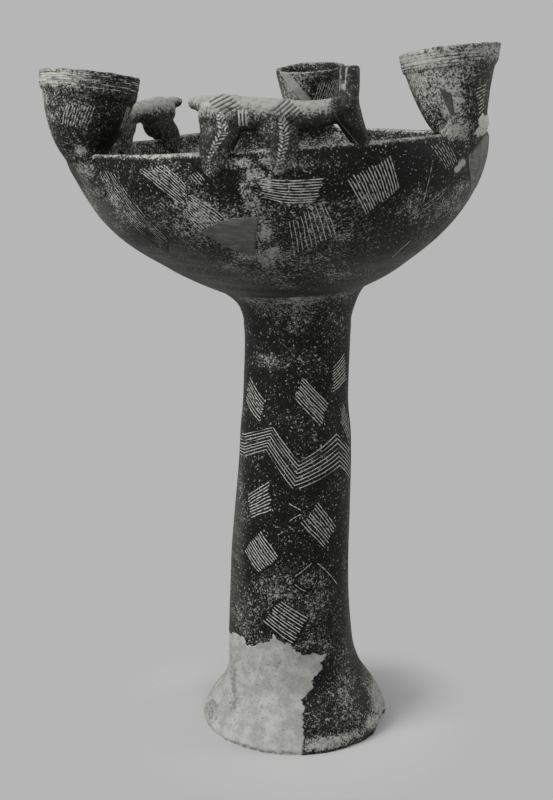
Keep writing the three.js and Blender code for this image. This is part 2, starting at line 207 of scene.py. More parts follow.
def make_mesh(name, points, faces):
    """A mesh object at the origin, its faces turned outwards by the sign of the volume it closes."""
    size = max(len(face) for face in faces)
    corners = np.array([list(face) + [face[-1]] * (size - len(face)) for face in faces])
    fans = points[corners]
    middle = points.mean(0)
    volume = 0
    for k in range(1, size - 1):
        a, b, c = fans[:, 0] - middle, fans[:, k] - middle, fans[:, k + 1] - middle
        volume += np.sum(a * np.cross(b, c))
    if volume < 0:
        faces = [face[::-1] for face in faces]
    mesh = bpy.data.meshes.new(name)
    mesh.from_pydata(points.tolist(), [], faces)
    mesh.shade_smooth()
    mesh.validate()
    return placed(name, mesh)


def sleeve_faces(rows, columns, first=0, looped=False):
    """Quads between neighbouring rows of points that each go once round; looped joins the last
    row to the first."""
    i, j = np.meshgrid(np.arange(rows if looped else rows - 1), np.arange(columns), indexing="ij")
    below, above = i % rows * columns, (i + 1) % rows * columns
    right = (j + 1) % columns
    quads = np.stack([below + j, below + right, above + right, above + j], -1) + first
    return quads.reshape(-1, 4).tolist()


def fan_faces(row_start, columns, pole, upward):
    """Triangles from a row of points to a pole."""
    ring = [(row_start + j, row_start + (j + 1) % columns, pole) for j in range(columns)]
    return ring if upward else [face[::-1] for face in ring]


def form_faces(count, columns, first=0):
    """The faces of a form made of rows of points, whose two poles come after the rows."""
    pole = first + count * columns
    bottom = fan_faces(first, columns, pole, False)
    return sleeve_faces(count, columns, first) + bottom + fan_faces(pole - columns, columns, pole + 1, True)


def closed_form(name, rows, poles=None):
    """A closed skin of rows of points, each once round: it ends in two poles, or closes on itself."""
    count, columns = rows.shape[:2]
    points = rows.reshape(-1, 3)
    if poles is None:
        return make_mesh(name, points, sleeve_faces(count, columns, looped=True))
    return make_mesh(name, np.concatenate([points, np.array(poles, float)]), form_faces(count, columns))


def rail_point(rail, share, sharp):
    """A point at a share of a rail's length in steps, along straight stretches or a smooth curve,
    and carried straight on past its ends."""
    rail = np.array(rail, float)
    place = share * (len(rail) - 1)
    steps = np.arange(len(rail))
    inside = np.clip(place, 0, len(rail) - 1)
    if sharp or len(rail) == 2:
        value = np.stack([np.interp(inside, steps, rail[:, k]) for k in (0, 1)], -1)
    else:
        slope = np.gradient(rail, axis=0)
        i = np.clip(inside.astype(int), 0, len(rail) - 2)
        t = (inside - i)[..., None]
        value = rail[i] * (1 + 2 * t) * (1 - t) ** 2 + rail[i + 1] * t * t * (3 - 2 * t)
        value = value + slope[i] * t * (1 - t) ** 2 - slope[i + 1] * t * t * (1 - t)
    before = np.minimum(place, 0)[..., None] * (rail[1] - rail[0])
    after = np.maximum(place - (len(rail) - 1), 0)[..., None] * (rail[-1] - rail[-2])
    return value + before + after


def panel_size(surface, panel):
    """How long and how wide a panel is on its surface, in metres, along and across its lines."""
    share = np.linspace(0, 1, 41)
    rails = [rail_point(rail, share, panel["sharp"]) for rail in panel["rails"]]
    rails = [surface(np.radians(rail[:, 0]), panel["unit"](rail[:, 1])) for rail in rails]
    length = np.linalg.norm(np.diff((rails[0] + rails[1]) / 2, axis=0), axis=1).sum()
    return length, np.linalg.norm(rails[0] - rails[1], axis=1).mean()


def panel_outline(surface, panel, grow):
    """The panel's border on its surface's own two coordinates, grown by a distance in metres."""
    length, width = panel_size(surface, panel)
    more_u, more_v = grow / length, grow / width
    along = np.linspace(-more_u, 1 + more_u, 25)
    a, b = [rail_point(rail, along, panel["sharp"]) for rail in panel["rails"]]
    return np.concatenate([a - (b - a) * more_v, (a + (b - a) * (1 + more_v))[::-1]])


panel_margin = 0.0022
panel_sink = 0.0010
sink_inset = 0.0009
sink_slope = 0.0006
slab_depth = 0.0011
line_breadth = 0.00052
line_depth = 0.00042
line_fade = 0.0014


def in_degrees(turn):
    """A turn in degrees, between -180 and 180."""
    return np.degrees((turn + np.pi) % (2 * np.pi) - np.pi)


def sunk_under(surface, panels, a, b, stretch):
    """How far a skin is drawn in under its scratched panels: the full sink well inside each
    border, none at it. stretch turns the two coordinates, in degrees, into metres."""
    sink = np.zeros(np.broadcast(a, b).shape)
    p = np.stack(np.broadcast_arrays(a, b), -1) * stretch
    for panel in panels:
        corners = panel_outline(surface, panel, panel_margin) * stretch
        reach = 0.02 + np.ptp(corners, axis=0).max()
        near = np.linalg.norm(p - corners.mean(0), axis=-1) < reach
        q = p[near]
        close, within = np.full(len(q), np.inf), np.zeros(len(q), bool)
        for start, end in zip(corners, np.roll(corners, -1, axis=0)):
            side = end - start
            t = np.clip((q - start) @ side / max(side @ side, 1e-18), 0, 1)
            close = np.minimum(close, np.linalg.norm(q - start - t[:, None] * side, axis=-1))
            crosses = (start[1] > q[:, 1]) != (end[1] > q[:, 1])
            rise = side[1] if abs(side[1]) > 1e-15 else 1e-15
            within ^= crosses & (q[:, 0] < start[0] + side[0] * (q[:, 1] - start[1]) / rise)
        depth = np.where(within, np.clip((close - sink_inset) / sink_slope, 0, 1), 0)
        sink[near] = np.maximum(sink[near], depth * panel_sink)
    return sink


def scratched_panel(surface, panel, seed):
    """A thin closed slab flush with its surface, cut by a comb: each line is a rounded groove with
    slightly raised lips that wanders a little, fades at its ends and holds some pale lime."""
    draw = np.random.default_rng(seed)
    count, sharp, broad = panel["lines"], panel["sharp"], panel["broad"]
    length, width = panel_size(surface, panel)
    more_u, more_v = panel_margin / length, panel_margin / width
    fine = 0.00026
    across = max(int((width + 2 * panel_margin) / fine), 12)
    along = max(int(length / 0.0011), 14)
    corner_shares = np.linspace(0, 1, len(panel["rails"][0]))
    u = np.unique(np.concatenate([np.linspace(-more_u, 1 + more_u, along), corner_shares]))
    u, v = np.meshgrid(u, np.linspace(-more_v, 1 + more_v, across), indexing="ij")
    a, b = [rail_point(rail, u, sharp) for rail in panel["rails"]]
    place = a + (b - a) * v[..., None]
    groove, lips, lime = np.zeros((3,) + u.shape)
    for middle in ([0.5] if count == 1 else np.linspace(0, 1, count)):
        middle = middle + draw.normal(0, 0.06) / max(count, 4)
        sway = draw.normal(0, 0.00022, 2)
        wander = sway[0] * np.sin(3 * u + draw.uniform(0, 6))
        wander = wander + sway[1] * np.sin(9 * u + draw.uniform(0, 6))
        away = np.abs((v - middle) * width + wander)
        start, end = draw.uniform(-0.01, 0.05), draw.uniform(0.95, 1.01)
        fade = line_fade / length
        there = np.clip((u - start) / fade, 0, 1) * np.clip((end - u) / fade, 0, 1)
        press = there * (draw.uniform(0.7, 1.0) * (1 - 0.18 * np.sin(7 * u + draw.uniform(0, 6)) ** 2))
        groove = np.maximum(groove, np.exp(-(away / broad) ** 2) * press)
        lips = np.maximum(lips, np.exp(-((away - 2.1 * broad) / (0.7 * broad)) ** 2) * press)
        filled = np.clip(0.72 + 0.5 * np.sin(23 * u + draw.uniform(0, 6)) * draw.uniform(0.2, 1), 0.25, 1)
        lime = np.maximum(lime, np.exp(-(away / (0.88 * broad)) ** 4) * there * filled)
    lift = 0.00007 + 0.00006 * lips * (1 - groove) - panel["deep"] * groove
    border = np.ones(u.shape, bool)
    border[1:-1, 1:-1] = False
    lift = np.where(border, -0.00025, lift)
    turn, rise = np.radians(place[..., 0]), panel["unit"](place[..., 1])
    top = lifted(surface, turn, rise, lift).reshape(-1, 3)
    rows, columns = u.shape
    index = np.arange(rows * columns).reshape(rows, columns)
    quads = np.stack([index[:-1, :-1], index[1:, :-1], index[1:, 1:], index[:-1, 1:]], -1).reshape(-1, 4)
    rim = np.concatenate([index[0, :-1], index[:-1, -1], index[-1, :0:-1], index[:0:-1, 0]])
    deep = lifted(surface, turn.ravel()[rim], rise.ravel()[rim], np.full(len(rim), -slab_depth))
    heart = deep.mean(0)
    heart += (heart - top.mean(0)) * 0.02
    low = len(top) + np.arange(len(rim))
    sides = np.stack([np.roll(low, -1), low, rim, np.roll(rim, -1)], -1)
    bottom = np.stack([low, np.roll(low, -1), np.full(len(rim), len(top) + len(rim))], -1)
    faces = quads.tolist() + sides.tolist() + bottom.tolist()
    return np.concatenate([top, deep, heart[None]]), faces, np.append(lime.ravel(), np.zeros(len(rim) + 1))


def scratched_panels(name, surface, panels, seed):
    """All the panels of one surface as one mesh of separate closed slabs."""
    points, faces, lime, start = [], [], [], 0
    for k, panel in enumerate(panels):
        slab, slab_faces, pale = scratched_panel(surface, panel, seed + k)
        points.append(slab)
        faces += [[corner + start for corner in face] for face in slab_faces]
        lime.append(pale * panel["limed"])
        start += len(slab)
    piece = make_mesh(name, np.concatenate(points), faces)
    mark(piece, "lime", np.concatenate(lime))
    return piece


def hatched(lines, *corners, **rest):
    """A panel of comb lines. The first half of its corners runs along its first line, the other
    half along its last; each is a turn in degrees and a height in the surface's own unit."""
    half = len(corners) // 2
    panel = dict(lines=lines, rails=[corners[:half], corners[half:]], sharp=False, limed=1.0,
                 broad=line_breadth, deep=line_depth)
    return dict(panel, **rest)


def scratch(limed, *points, across=1.3, square=(1.1, 1.0), **rest):
    """One loose scratch through points on a surface. square makes a step round the surface as
    long as a step up it."""
    line = np.array(points, float)
    way = directions(np.gradient(line * square, axis=0))
    side = np.stack([-way[:, 1], way[:, 0]], -1) / square * across
    return hatched(1, *(line + side).tolist(), *(line - side).tolist(), limed=limed, **rest)


def in_heights(height):
    """Panels on the stem give heights in millimetres."""
    return height * 0.001


stem_panels = [
    hatched(9, (-85.2, 393.7), (-52.6, 361.7), (-92.9, 373.9), (-62.2, 341.0)),
    hatched(8, (-154.2, 388.2), (-124.0, 364.5), (-162.0, 362.6), (-129.7, 343.7)),
    hatched(9, (-49.5, 399.1), (-27.7, 412.5), (-47.7, 374.8), (-20.4, 385.5)),
    hatched(7, (-30.1, 361.8), (-8.9, 330.9), (-35.8, 343.8), (-18.0, 314.0)),
    hatched(8, (-176.2, 322.0), (-156.2, 326.0), (-114.4, 341.0), (-87.1, 306.1), (-43.5, 330.6), (-8, 300),
            (-176.4, 300.0), (-155.4, 302.3), (-121.3, 317.3), (-91.0, 276.9), (-38.7, 295.8), (-8, 270),
            sharp=True),
    hatched(9, (-143.9, 261.8), (-116.3, 283.5), (-135.9, 241.0), (-110.7, 255.1)),
    hatched(9, (-67.2, 262.8), (-42.3, 229.8), (-82.5, 241.9), (-54.9, 209.9)),
    hatched(11, (-122.8, 229.8), (-101.0, 203.3), (-141.2, 205.4), (-119.8, 184.5)),
    hatched(10, (-99.8, 157.3), (-72.6, 135.6), (-115.5, 133.7), (-86.8, 110.2)),
    hatched(7, (-20, 205), (-30, 182), (-8, 196), (-18, 170), limed=0.5),
    scratch(0.8, (-97.1, 263.7), (-89.5, 259.0), (-81.8, 254.3)),
    scratch(0.7, (-81.9, 250.8), (-88.5, 247.5), (-94.8, 242.9)),
    scratch(0.6, (-95.5, 238.9), (-91.7, 236.0), (-87.7, 232.6)),
    scratch(0.7, (-86.0, 183.0), (-79.0, 189.0), (-69.0, 197.5)),
    scratch(0.7, (-64.5, 196.0), (-54.0, 186.0), (-38.0, 165.0)),
    scratch(0.6, (-86.5, 177.0), (-80.0, 170.0), (-74.0, 165.0)),
    scratch(0.5, (-69.0, 166.5), (-65.5, 173.0), (-63.0, 179.0)),
    hatched(9, (24, 391), (56, 364), (17, 370), (47, 343)),
    hatched(8, (96, 398), (126, 371), (88, 377), (117, 350)),
    hatched(9, (34, 255), (61, 280), (42, 236), (68, 258)),
    hatched(9, (118, 262), (143, 236), (105, 243), (130, 215)),
    hatched(10, (70, 160), (97, 138), (56, 137), (83, 114)),
]
for panel in stem_panels:
    panel["unit"] = in_heights


def stem_bore(height):
    """The radius of the stem's hollow: the outside less the wall."""
    top = np.minimum(height, collar_foot)
    return through(stem_reach, top) - through(wall_stations, height)


def bowl_profile(climb, radius, depth):
    """The bowl's outline: radius times a power of the climb's sine, and a drop from the lip by a
    power of its cosine. The climb is 0 at the tip and a right angle at the lip."""
    side = np.maximum(np.sin(climb), 0) ** (2 / side_power)
    drop = np.maximum(np.cos(climb), 0) ** (2 / depth_power)
    return radius * side, rim_height - bowl_wall / 2 - (depth - bowl_wall / 2) * drop


def as_fired(x, y, z):
    """Where a point of the round and level bowl lies: it rises to the right and has slid off the
    stem's middle, more so towards the rim."""
    share = np.clip((z - rim_height + bowl_depth) / bowl_depth, 0, 1)
    shift = shift_at_tip + (shift_at_rim - shift_at_tip) * share
    return np.stack([foot_x + x + shift, foot_y + y, z + rim_rise * x * share], -1)


left_flank = [
    (0.470, 0), (0.497, -0.0015), (0.505, -0.0030), (0.527, -0.0020), (0.550, -0.0034), (0.573, -0.0056),
    (0.589, -0.0052), (0.596, -0.0044), (0.604, -0.0026), (0.614, -0.0010), (0.622, 0),
]
right_flank = [
    (0.490, 0), (0.508, -0.0030), (0.525, -0.0030), (0.545, -0.0024), (0.580, -0.0012), (0.612, 0),
]
rim_lifts = [
    (-150, 0), (-120, 0), (-84, 0.0026), (-66, 0.0038), (-45, 0.0050), (-15, 0.0028), (15, 0.0010),
    (38, -0.0022), (52, -0.0004), (64, 0.0010), (78, 0.0035), (94, 0.0055), (110, 0.0045),
    (122, 0.0028), (134, 0),
]


def bowl_lift(turn, height):
    """How much higher the uneven lip runs on the right of the front, less the further below it."""
    share = np.clip((height - rim_height + bowl_depth) / bowl_depth, 0, 1)
    return through(rim_lifts, in_degrees(turn)) * share ** 2


def off_round(turn, height):
    """How far out the bowl's outside lies from the round: two flatter flanks, each strongest where
    a squared cosine of the turn is one, and the potter's unevenness, which ends at the lip."""
    facing = np.maximum(-np.cos(turn - 0.15), 0) ** 2
    other = np.maximum(np.cos(turn), 0) ** 2
    near_lip = np.clip((rim_height - height) / 0.012, 0, 1)
    flanks = facing * through(left_flank, height) + other * through(right_flank, height)
    return flanks + near_lip * by_hand(turn, height, 0.0006, 11)


def bowl_round(radius, turn, height):
    """A row of the bowl at its fired place, raised where the uneven lip is."""
    return as_fired(radius * np.cos(turn), radius * np.sin(turn), height + bowl_lift(turn, height))


def bowl_outside(turn, climb):
    """The bowl's outside: its outline, off the round by hand, and higher where the lip is lifted."""
    radius, height = bowl_profile(climb, bowl_radius, bowl_depth)
    return bowl_round(radius + off_round(turn, height) * np.clip(radius / 0.1, 0, 1), turn, height)


def bridged(start, ahead, end, past, share, pull):
    """A row of points at a share of the way from one row to another, on the cubic that leaves in
    one direction and arrives in the other. pull is how strongly the directions bend it."""
    reach = np.linalg.norm(end - start, axis=1, keepdims=True) * pull
    back = 1 - share
    row = start * (1 + 2 * share) * back ** 2 + end * share ** 2 * (3 - 2 * share)
    return row + reach * (ahead * share * back ** 2 - past * share ** 2 * back)


def stem_skin():
    """The stem as one closed sleeve: up its outside to land on the bowl in a smoothed collar, in
    under the bowl, down its bore, and across the ring on which it stands."""
    columns = 336
    turn = np.linspace(0, 2 * np.pi, columns, endpoint=False)
    lower = np.linspace(0, 1, 34) ** 1.6 * 0.05
    heights = np.concatenate([lower, np.linspace(0.0515, seat_height - 0.022, 206)])
    t, h = np.meshgrid(turn, heights)
    stretch = np.array([np.radians(1) * 0.062, 0.001])
    sink = sunk_under(stem_outside, stem_panels, in_degrees(t), h * 1000, stretch)
    rows = [lifted(stem_outside, t, h, -sink)]
    leave = rows[0][-1]
    land_radius = 0.081 + 0.005 * np.cos(turn)
    land_climb = np.arcsin((land_radius / bowl_radius) ** (side_power / 2))
    land, beyond = [lifted(bowl_outside, turn, land_climb + further, np.full(columns, -0.0006))
                    for further in (0, 0.03)]
    lean, arrive = directions(leave - rows[0][-2]), directions(beyond - land)
    for share in np.linspace(0, 1, 17)[1:]:
        rows.append(bridged(leave, lean, land, arrive, share, 0.9)[None])
    inner = [(0.060, seat_height + 0.001), (stem_bore(seat_height), seat_height - 0.005)]
    inner += [(stem_bore(z), z) for z in np.linspace(collar_foot, 0.006, 40)]
    inner += [(stem_bore(0.0), 0.0015), (stem_bore(0.0) + 0.0015, 0.0)]
    for radius, height in inner:
        middle = foot_x + through(stem_axis, np.array(height))
        ring = [middle + radius * np.cos(turn), foot_y + radius * np.sin(turn), np.full(columns, height)]
        rows.append(np.stack(ring, -1)[None])
    return np.concatenate(rows)


# The break in the foot, in shares of the foot's radius across and of its spread upwards. Its
# edge is drawn finer here than the sherds' corners, because old clay breaks in small steps.
foot_break = [
    (-1.34, -0.15), (0.082, -0.15), (0.075, 0.12), (0.092, 0.27), (0.076, 0.36), (0.096, 0.46),
    (0.052, 0.56), (0.115, 0.60), (0.196, 0.69), (0.172, 0.75), (0.196, 0.80), (0.292, 0.87),
    (0.262, 0.95), (0.335, 1.03), (0.22, 1.07), (0.085, 1.07), (0.03, 1.11), (0.0, 1.13),
    (-0.05, 1.19), (-0.07, 1.24), (-0.16, 1.25), (-0.24, 1.33), (-0.275, 1.23), (-0.37, 1.20),
    (-0.45, 1.13), (-0.53, 1.12), (-0.565, 1.20), (-0.66, 1.17), (-0.71, 1.08), (-0.85, 1.11),
    (-1.34, 1.04),
]
foot_break_back = 0.59 * stem_radius
foot_break_front = -1.3 * foot_radius


def jagged(outline, rough, seed):
    """An outline whose sides are each split in four, the new corners thrown off by chance."""
    draw = np.random.default_rng(seed)
    corners = np.array(outline, float)
    onward = np.roll(corners, -1, axis=0)
    points = []
    for start, end in zip(corners, onward):
        for share in (0, 0.25, 0.5, 0.75):
            throw = 0 if share == 0 else draw.normal(0, rough)
            side = end - start
            across = np.array([-side[1], side[0]]) / max(np.linalg.norm(side), 1e-9)
            points.append(start + side * share + across * throw)
    return np.array(points)


def break_block(name, outline, low_y, high_y):
    """A closed block with a jagged outline in X and Z, from one Y to another."""
    onward = np.roll(outline, -1, axis=0)
    if np.sum(outline[:, 0] * onward[:, 1] - onward[:, 0] * outline[:, 1]) > 0:
        outline = outline[::-1]
    count = len(outline)
    near = np.stack([outline[:, 0], np.full(count, low_y), outline[:, 1]], -1)
    far = near + (0, high_y - low_y, 0)
    sides = [[k, (k + 1) % count, (k + 1) % count + count, k + count] for k in range(count)]
    faces = sides + [list(range(count))[::-1], list(range(count, 2 * count))]
    mesh = bpy.data.meshes.new(name)
    mesh.from_pydata(np.concatenate([near, far]).tolist(), [], faces)
    return placed(name, mesh)


def cut(piece, block, operation):
    """Leaves of a piece what lies outside a block, or inside it."""
    step = piece.modifiers.new("cut", "BOOLEAN")
    step.operation, step.solver, step.object = operation, "EXACT", block
    settle(piece)


def lumpy_stone(name, middle, reach, turn, seed):
    """A closed lump shaped like a stone: a ball with three sizes, turned about Z, whose radius
    swells and shrinks by chance. What it cuts away looks knocked off."""
    round_it = np.linspace(0, 2 * np.pi, 40, endpoint=False)
    r, c = np.meshgrid(round_it, np.linspace(-1.5, 1.5, 26))
    swell = 1 + by_hand(r, c * 0.09, 0.10, seed) * np.cos(c)
    x, y = swell * np.cos(c) * np.cos(r) * reach[0], swell * np.cos(c) * np.sin(r) * reach[1]
    z = swell * np.sin(c) * reach[2]
    rows = np.stack([x * np.cos(turn) - y * np.sin(turn), x * np.sin(turn) + y * np.cos(turn), z], -1)
    poles = [middle - (0, 0, reach[2]), middle + (0, 0, reach[2])]
    return closed_form(name, rows + middle, poles)


def settle(piece):
    """Makes a piece's mesh what its modifiers give, and removes them."""
    graph = bpy.context.evaluated_depsgraph_get()
    made = bpy.data.meshes.new_from_object(piece.evaluated_get(graph))
    piece.modifiers.clear()
    piece.data = made
    made.shade_smooth()


def patches(points, spots):
    """How strongly each point is marked: the strongest of soft round spots, each given as its
    middle, its reach in X, Y and Z, and its strength."""
    wear_and_painted_light = np.zeros(len(points))
    for middle, reach, strength in spots:
        away = np.linalg.norm((points - middle) / reach, axis=1)
        wear_and_painted_light = np.maximum(wear_and_painted_light, strength * np.exp(-away ** 2.6))
    return wear_and_painted_light


def stem_spots(*rows):
    """Spots on the stem, from rows of seven: the middle in millimetres right of and behind the
    foot's middle and above the ground, the reach in X, Y and Z in millimetres, the strength."""
    rows = np.array(rows, float)
    return list(zip(rows[:, :3] * 0.001 + (foot_x, foot_y, 0), rows[:, 3:6] * 0.001, rows[:, 6]))


class Value:
    """A number that changes over a surface. Adding, subtracting and multiplying make its nodes."""

    def __init__(self, tree, socket):
        self.tree = tree
        self.socket = socket

    def step(self, kind, other):
        """One arithmetic node between this value and another one or a number."""
        made = node(self.tree, "ShaderNodeMath", {0: self, 1: other}, operation=kind)
        return Value(self.tree, made.outputs[0])

    def __add__(self, other):
        return self.step("ADD", other)

    def __sub__(self, other):
        return self.step("SUBTRACT", other)

    def __mul__(self, other):
        return self.step("MULTIPLY", other)

    def or_more(self, other):
        """The larger of the two."""
        return self.step("MAXIMUM", other)

    def ramp(self, low, high, start=0.0, end=1.0):
        """A smooth step of this value from one level to another."""
        span = {"Value": self, "From Min": low, "From Max": high, "To Min": start, "To Max": end}
        made = node(self.tree, "ShaderNodeMapRange", span, interpolation_type="SMOOTHSTEP")
        return Value(self.tree, made.outputs["Result"])


def feed(tree, socket, value):
    """Links a socket to what comes into it, or sets its value."""
    if isinstance(value, Value):
        value = value.socket
    if isinstance(value, bpy.types.NodeSocket):
        tree.links.new(value, socket)
    else:
        socket.default_value = value


def node(tree, kind, inputs=None, **settings):
    """Adds a node, with its settings, its values and the links that come into it."""
    made = tree.nodes.new(kind)
    for name, value in settings.items():
        setattr(made, name, value)
    for name, value in (inputs or {}).items():
        feed(tree, made.inputs[name], value)
    return made


def mixed(tree, share, a, b):
    """One colour laid over another by a share."""
    return node(tree, "ShaderNodeMix", {0: share, 6: a, 7: b}, data_type="RGBA").outputs[2]


def noise(tree, place, scale, detail=4.0, roughness=0.6):
    """Noise at a scale, in cycles per metre, on the piece's own coordinates."""
    values = {"Vector": place, "Scale": scale, "Detail": detail, "Roughness": roughness}
    return Value(tree, node(tree, "ShaderNodeTexNoise", values).outputs["Fac"])


def marked(tree, name):
    """The number that a piece's vertices carry under a name."""
    return Value(tree, node(tree, "ShaderNodeAttribute", attribute_name=name).outputs["Fac"])


def new_ground(name, inputs):
    """An empty node group for a material's ground: it gives a colour, a roughness and a height."""
    group = bpy.data.node_groups.new(name, "ShaderNodeTree")
    for label, value in inputs.items():
        kind = "NodeSocketFloat" if isinstance(value, float) else "NodeSocketColor"
        socket = group.interface.new_socket(label, in_out="INPUT", socket_type=kind)
        socket.default_value = value
    for label, kind in (("Color", "Color"), ("Roughness", "Float"), ("Height", "Float")):
        group.interface.new_socket(label, in_out="OUTPUT", socket_type="NodeSocket" + kind)
    place = node(group, "ShaderNodeTexCoord").outputs["Object"]
    return group, group.nodes.new("NodeGroupInput").outputs, place


def finish_ground(tree, color, rough, height):
    """Links what a ground gives to the end of its node group."""
    node(tree, "NodeGroupOutput", {"Color": color, "Roughness": rough, "Height": height})
    return tree


lime_grey = (0.52, 0.52, 0.48, 1)
# The near black of painted shade.
painted_shade_grey = (0.003, 0.003, 0.003, 1)


def make_clay_ground():
    """Fired clay seen close. One mottling, summed of coarse and fine noise, of clouds and of the
    piece's mark of wear and painted light, is cut at two levels: the lower leaves a grey film, the
    higher pale crust. Smooth places with painted sheen lose the film and take flat streaks. Lime fills
    the scratches, and the shade mark lays painted shade on shadowed cuts, undersides and sides."""
    tree, given, place = new_ground("clay ground", {
        "Dark": (0.012, 0.012, 0.010, 1), "Film": (0.080, 0.080, 0.070, 1), "Crust": (0.30, 0.30, 0.27, 1),
        "Rub And Sheen": (0.092, 0.092, 0.084, 1), "Amount": 0.0,
    })
    lime, wear_and_painted_light, shade, rub_and_sheen = [marked(tree, name) for name in ("lime", "wear_and_painted_light", "shade", "rub_and_sheen")]
    coarse = noise(tree, place, 210.0, 8.0, 0.76)
    fine = noise(tree, place, 560.0, 4.0, 0.68)
    specks = noise(tree, place, 430.0, 2.0, 0.5)
    clouds = (noise(tree, place, 22.0, 3.0, 0.55) - 0.5) * 0.26
    # The mark of wear also carries painted light: the lip's highlight, the lit inside of the bowl, and the
    # animals' lit tops and horn edges.
    mottle = coarse * 0.36 + fine * 0.64 + clouds + wear_and_painted_light * 0.17 + given["Amount"] - rub_and_sheen * 0.12
    flat = node(tree, "ShaderNodeMapping", {"Vector": place, "Scale": (0.4, 0.4, 3.0)}).outputs["Vector"]
    streaks = noise(tree, flat, 55.0, 5.0, 0.62).ramp(0.36, 0.64, 0.3, 1.0)
    grains = (specks + clouds * 0.5).ramp(0.655, 0.68)
    crust = mottle.ramp(0.605, 0.635).or_more(grains)
    tone = coarse.ramp(0.38, 0.62, 0.55, 1.0)
    color = mixed(tree, mottle.ramp(0.530, 0.600) * tone, given["Dark"], given["Film"])
    # Painted sheen: where the smooth mark says, flat grey streaks lie over the film.
    color = mixed(tree, rub_and_sheen * streaks, color, given["Rub And Sheen"])
    color = mixed(tree, crust * tone, color, given["Crust"])
    filled = lime.ramp(0.12, 0.50) * fine.ramp(0.36, 0.52, 0.50, 1.0)
    color = mixed(tree, filled, color, lime_grey)
    # Painted shade: the shade mark lays near black where shadow falls in cuts and on shaded sides.
    color = mixed(tree, shade, color, painted_shade_grey)
    rough = coarse.ramp(0.35, 0.65, 0.44, 0.60) + crust.or_more(filled) * 0.3
    height = specks.ramp(0.30, 0.38, -1.0, 0.0) + crust * 0.6 + fine * 0.9
    return finish_ground(tree, color, rough, height)


clay_ground = make_clay_ground()


def empty_tree(owner):
    """The node tree of a material or a world, emptied."""
    owner.use_nodes = True
    owner.node_tree.nodes.clear()
    return owner.node_tree


def ground_material(name, ground, given, bump, distance, specular):
    """A material whose Principled shader takes its colour, roughness and relief from a ground."""
    made = bpy.data.materials.new(name)
    tree = empty_tree(made)
    source = node(tree, "ShaderNodeGroup", given, node_tree=ground).outputs
    relief = node(tree, "ShaderNodeBump", {
        "Height": source["Height"], "Strength": bump, "Distance": distance,
    })
    shader = node(tree, "ShaderNodeBsdfPrincipled", {
        "Base Color": source["Color"], "Roughness": source["Roughness"], "Normal": relief.outputs["Normal"],
        "Specular IOR Level": specular,
    })
    node(tree, "ShaderNodeOutputMaterial", {"Surface": shader.outputs["BSDF"]})
    return made


def clay_material(name, dark, film, crust, amount):
    """Burnished clay: the greys of its ground, film and crust, and how much of it they cover."""
    greys = {"Dark": dark, "Film": film, "Crust": crust}
    given = {label: (grey, grey, grey * 0.92, 1) for label, grey in greys.items()}
    return ground_material(name, clay_ground, dict(given, Amount=amount), 0.5, 0.0004, 0.12)


stem_clay = clay_material("stem clay", 0.0045, 0.075, 0.38, -0.026)


def finish_piece(piece, material, slot, *nodes):
    """Gives a piece its material and body, and hides the nodes that it stands for. Its slot is not used."""
    piece.data.materials.clear()
    piece.data.materials.append(material)
    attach(piece, "root")
    if nodes:
        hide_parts(*nodes)
    return piece


stem_piece = closed_form("stem_and_foot", stem_skin())
foot_fill = placed("foot_plaster", stem_piece.data.copy())
foot_outline = jagged(foot_break, 0.012, 5) * (foot_radius, foot_spread) + (foot_x, 0)
foot_block = break_block(
    "foot_block", foot_outline, foot_y + foot_break_front, foot_y + foot_break_back)
chip_middle = np.array([foot_x + 0.98 * foot_radius, foot_y - 0.32 * foot_radius, 0.0])
foot_chip = lumpy_stone("foot_chip", chip_middle, (0.013, 0.026, 0.0115), np.radians(-18), 9)
cut(stem_piece, foot_block, "DIFFERENCE")
cut(foot_fill, foot_block, "INTERSECT")
cut(stem_piece, foot_chip, "DIFFERENCE")
for tool in (foot_block, foot_chip):
    bpy.data.objects.remove(tool)

# Wear and painted light: the two tall narrow spots on the stem's left and right contours are painted sheen;
# the others are wear.
mark(stem_piece, "wear_and_painted_light", patches(places(stem_piece), stem_spots(
    (-26, -45, 408, 22, 30, 9, 0.62), (-10, -62, 468, 60, 30, 12, 0.60), (5, -55, 462, 50, 30, 6, 0.30),
    (-62, -20, 240, 10, 50, 120, 0.55), (66, -10, 220, 10, 40, 140, 0.55), (-5, -70, 170, 60, 30, 26, 0.62),
    (5, -70, 265, 60, 30, 20, 0.20), (-55, -50, 135, 20, 50, 30, 0.75), (-10, -55, 414, 50, 30, 12, 0.28),
    (10, -60, 140, 70, 40, 50, 0.44), (40, -90, 10, 70, 30, 8, 1.2), (85, -55, 14, 20, 30, 9, 1.1),
    (100, -20, 30, 22, 60, 28, 1.35), (86, -30, 52, 14, 50, 20, 0.95), (-10, -60, 480, 90, 60, 14, 1.05),
    (0, -60, 458, 80, 30, 20, 0.42), (45, -50, 105, 30, 40, 60, 0.42), (60, -70, 45, 40, 50, 40, 0.55),
    (-10, -65, 108, 70, 30, 12, 0.60), (0, 90, 10, 100, 50, 14, 1.0),
)))
# Smooth grey with painted sheen: the two tall strips on the stem's left and right contours are painted
# sheen; the rest are smooth places.
mark(stem_piece, "rub_and_sheen", patches(places(stem_piece), stem_spots(
    (-64, -6, 200, 11, 50, 90, 0.85), (64, -6, 170, 10, 50, 90, 0.85), (0, -50, 488, 100, 60, 10, 0.45),
    (40, 50, 300, 30, 20, 60, 0.50), (-30, 55, 180, 40, 20, 40, 0.50),
)))
finish_piece(stem_piece, stem_clay, "dark_clay", "stem_upper", "stem_foot")

stem_panels_piece = scratched_panels("stem_scratched_panels", stem_outside, stem_panels, 40)
finish_piece(stem_panels_piece, stem_clay, "dark_clay")

# Foot fill. Restoration plaster cast into the lost part of the foot and scraped down flush; its
# skin lies a hair under the clay, with scraper marks and a few bubbles.


dirt_grey = (0.095, 0.095, 0.085, 1)
pinhole_grey = (0.05, 0.05, 0.045, 1)
scraper_grey = (0.36, 0.36, 0.34, 1)


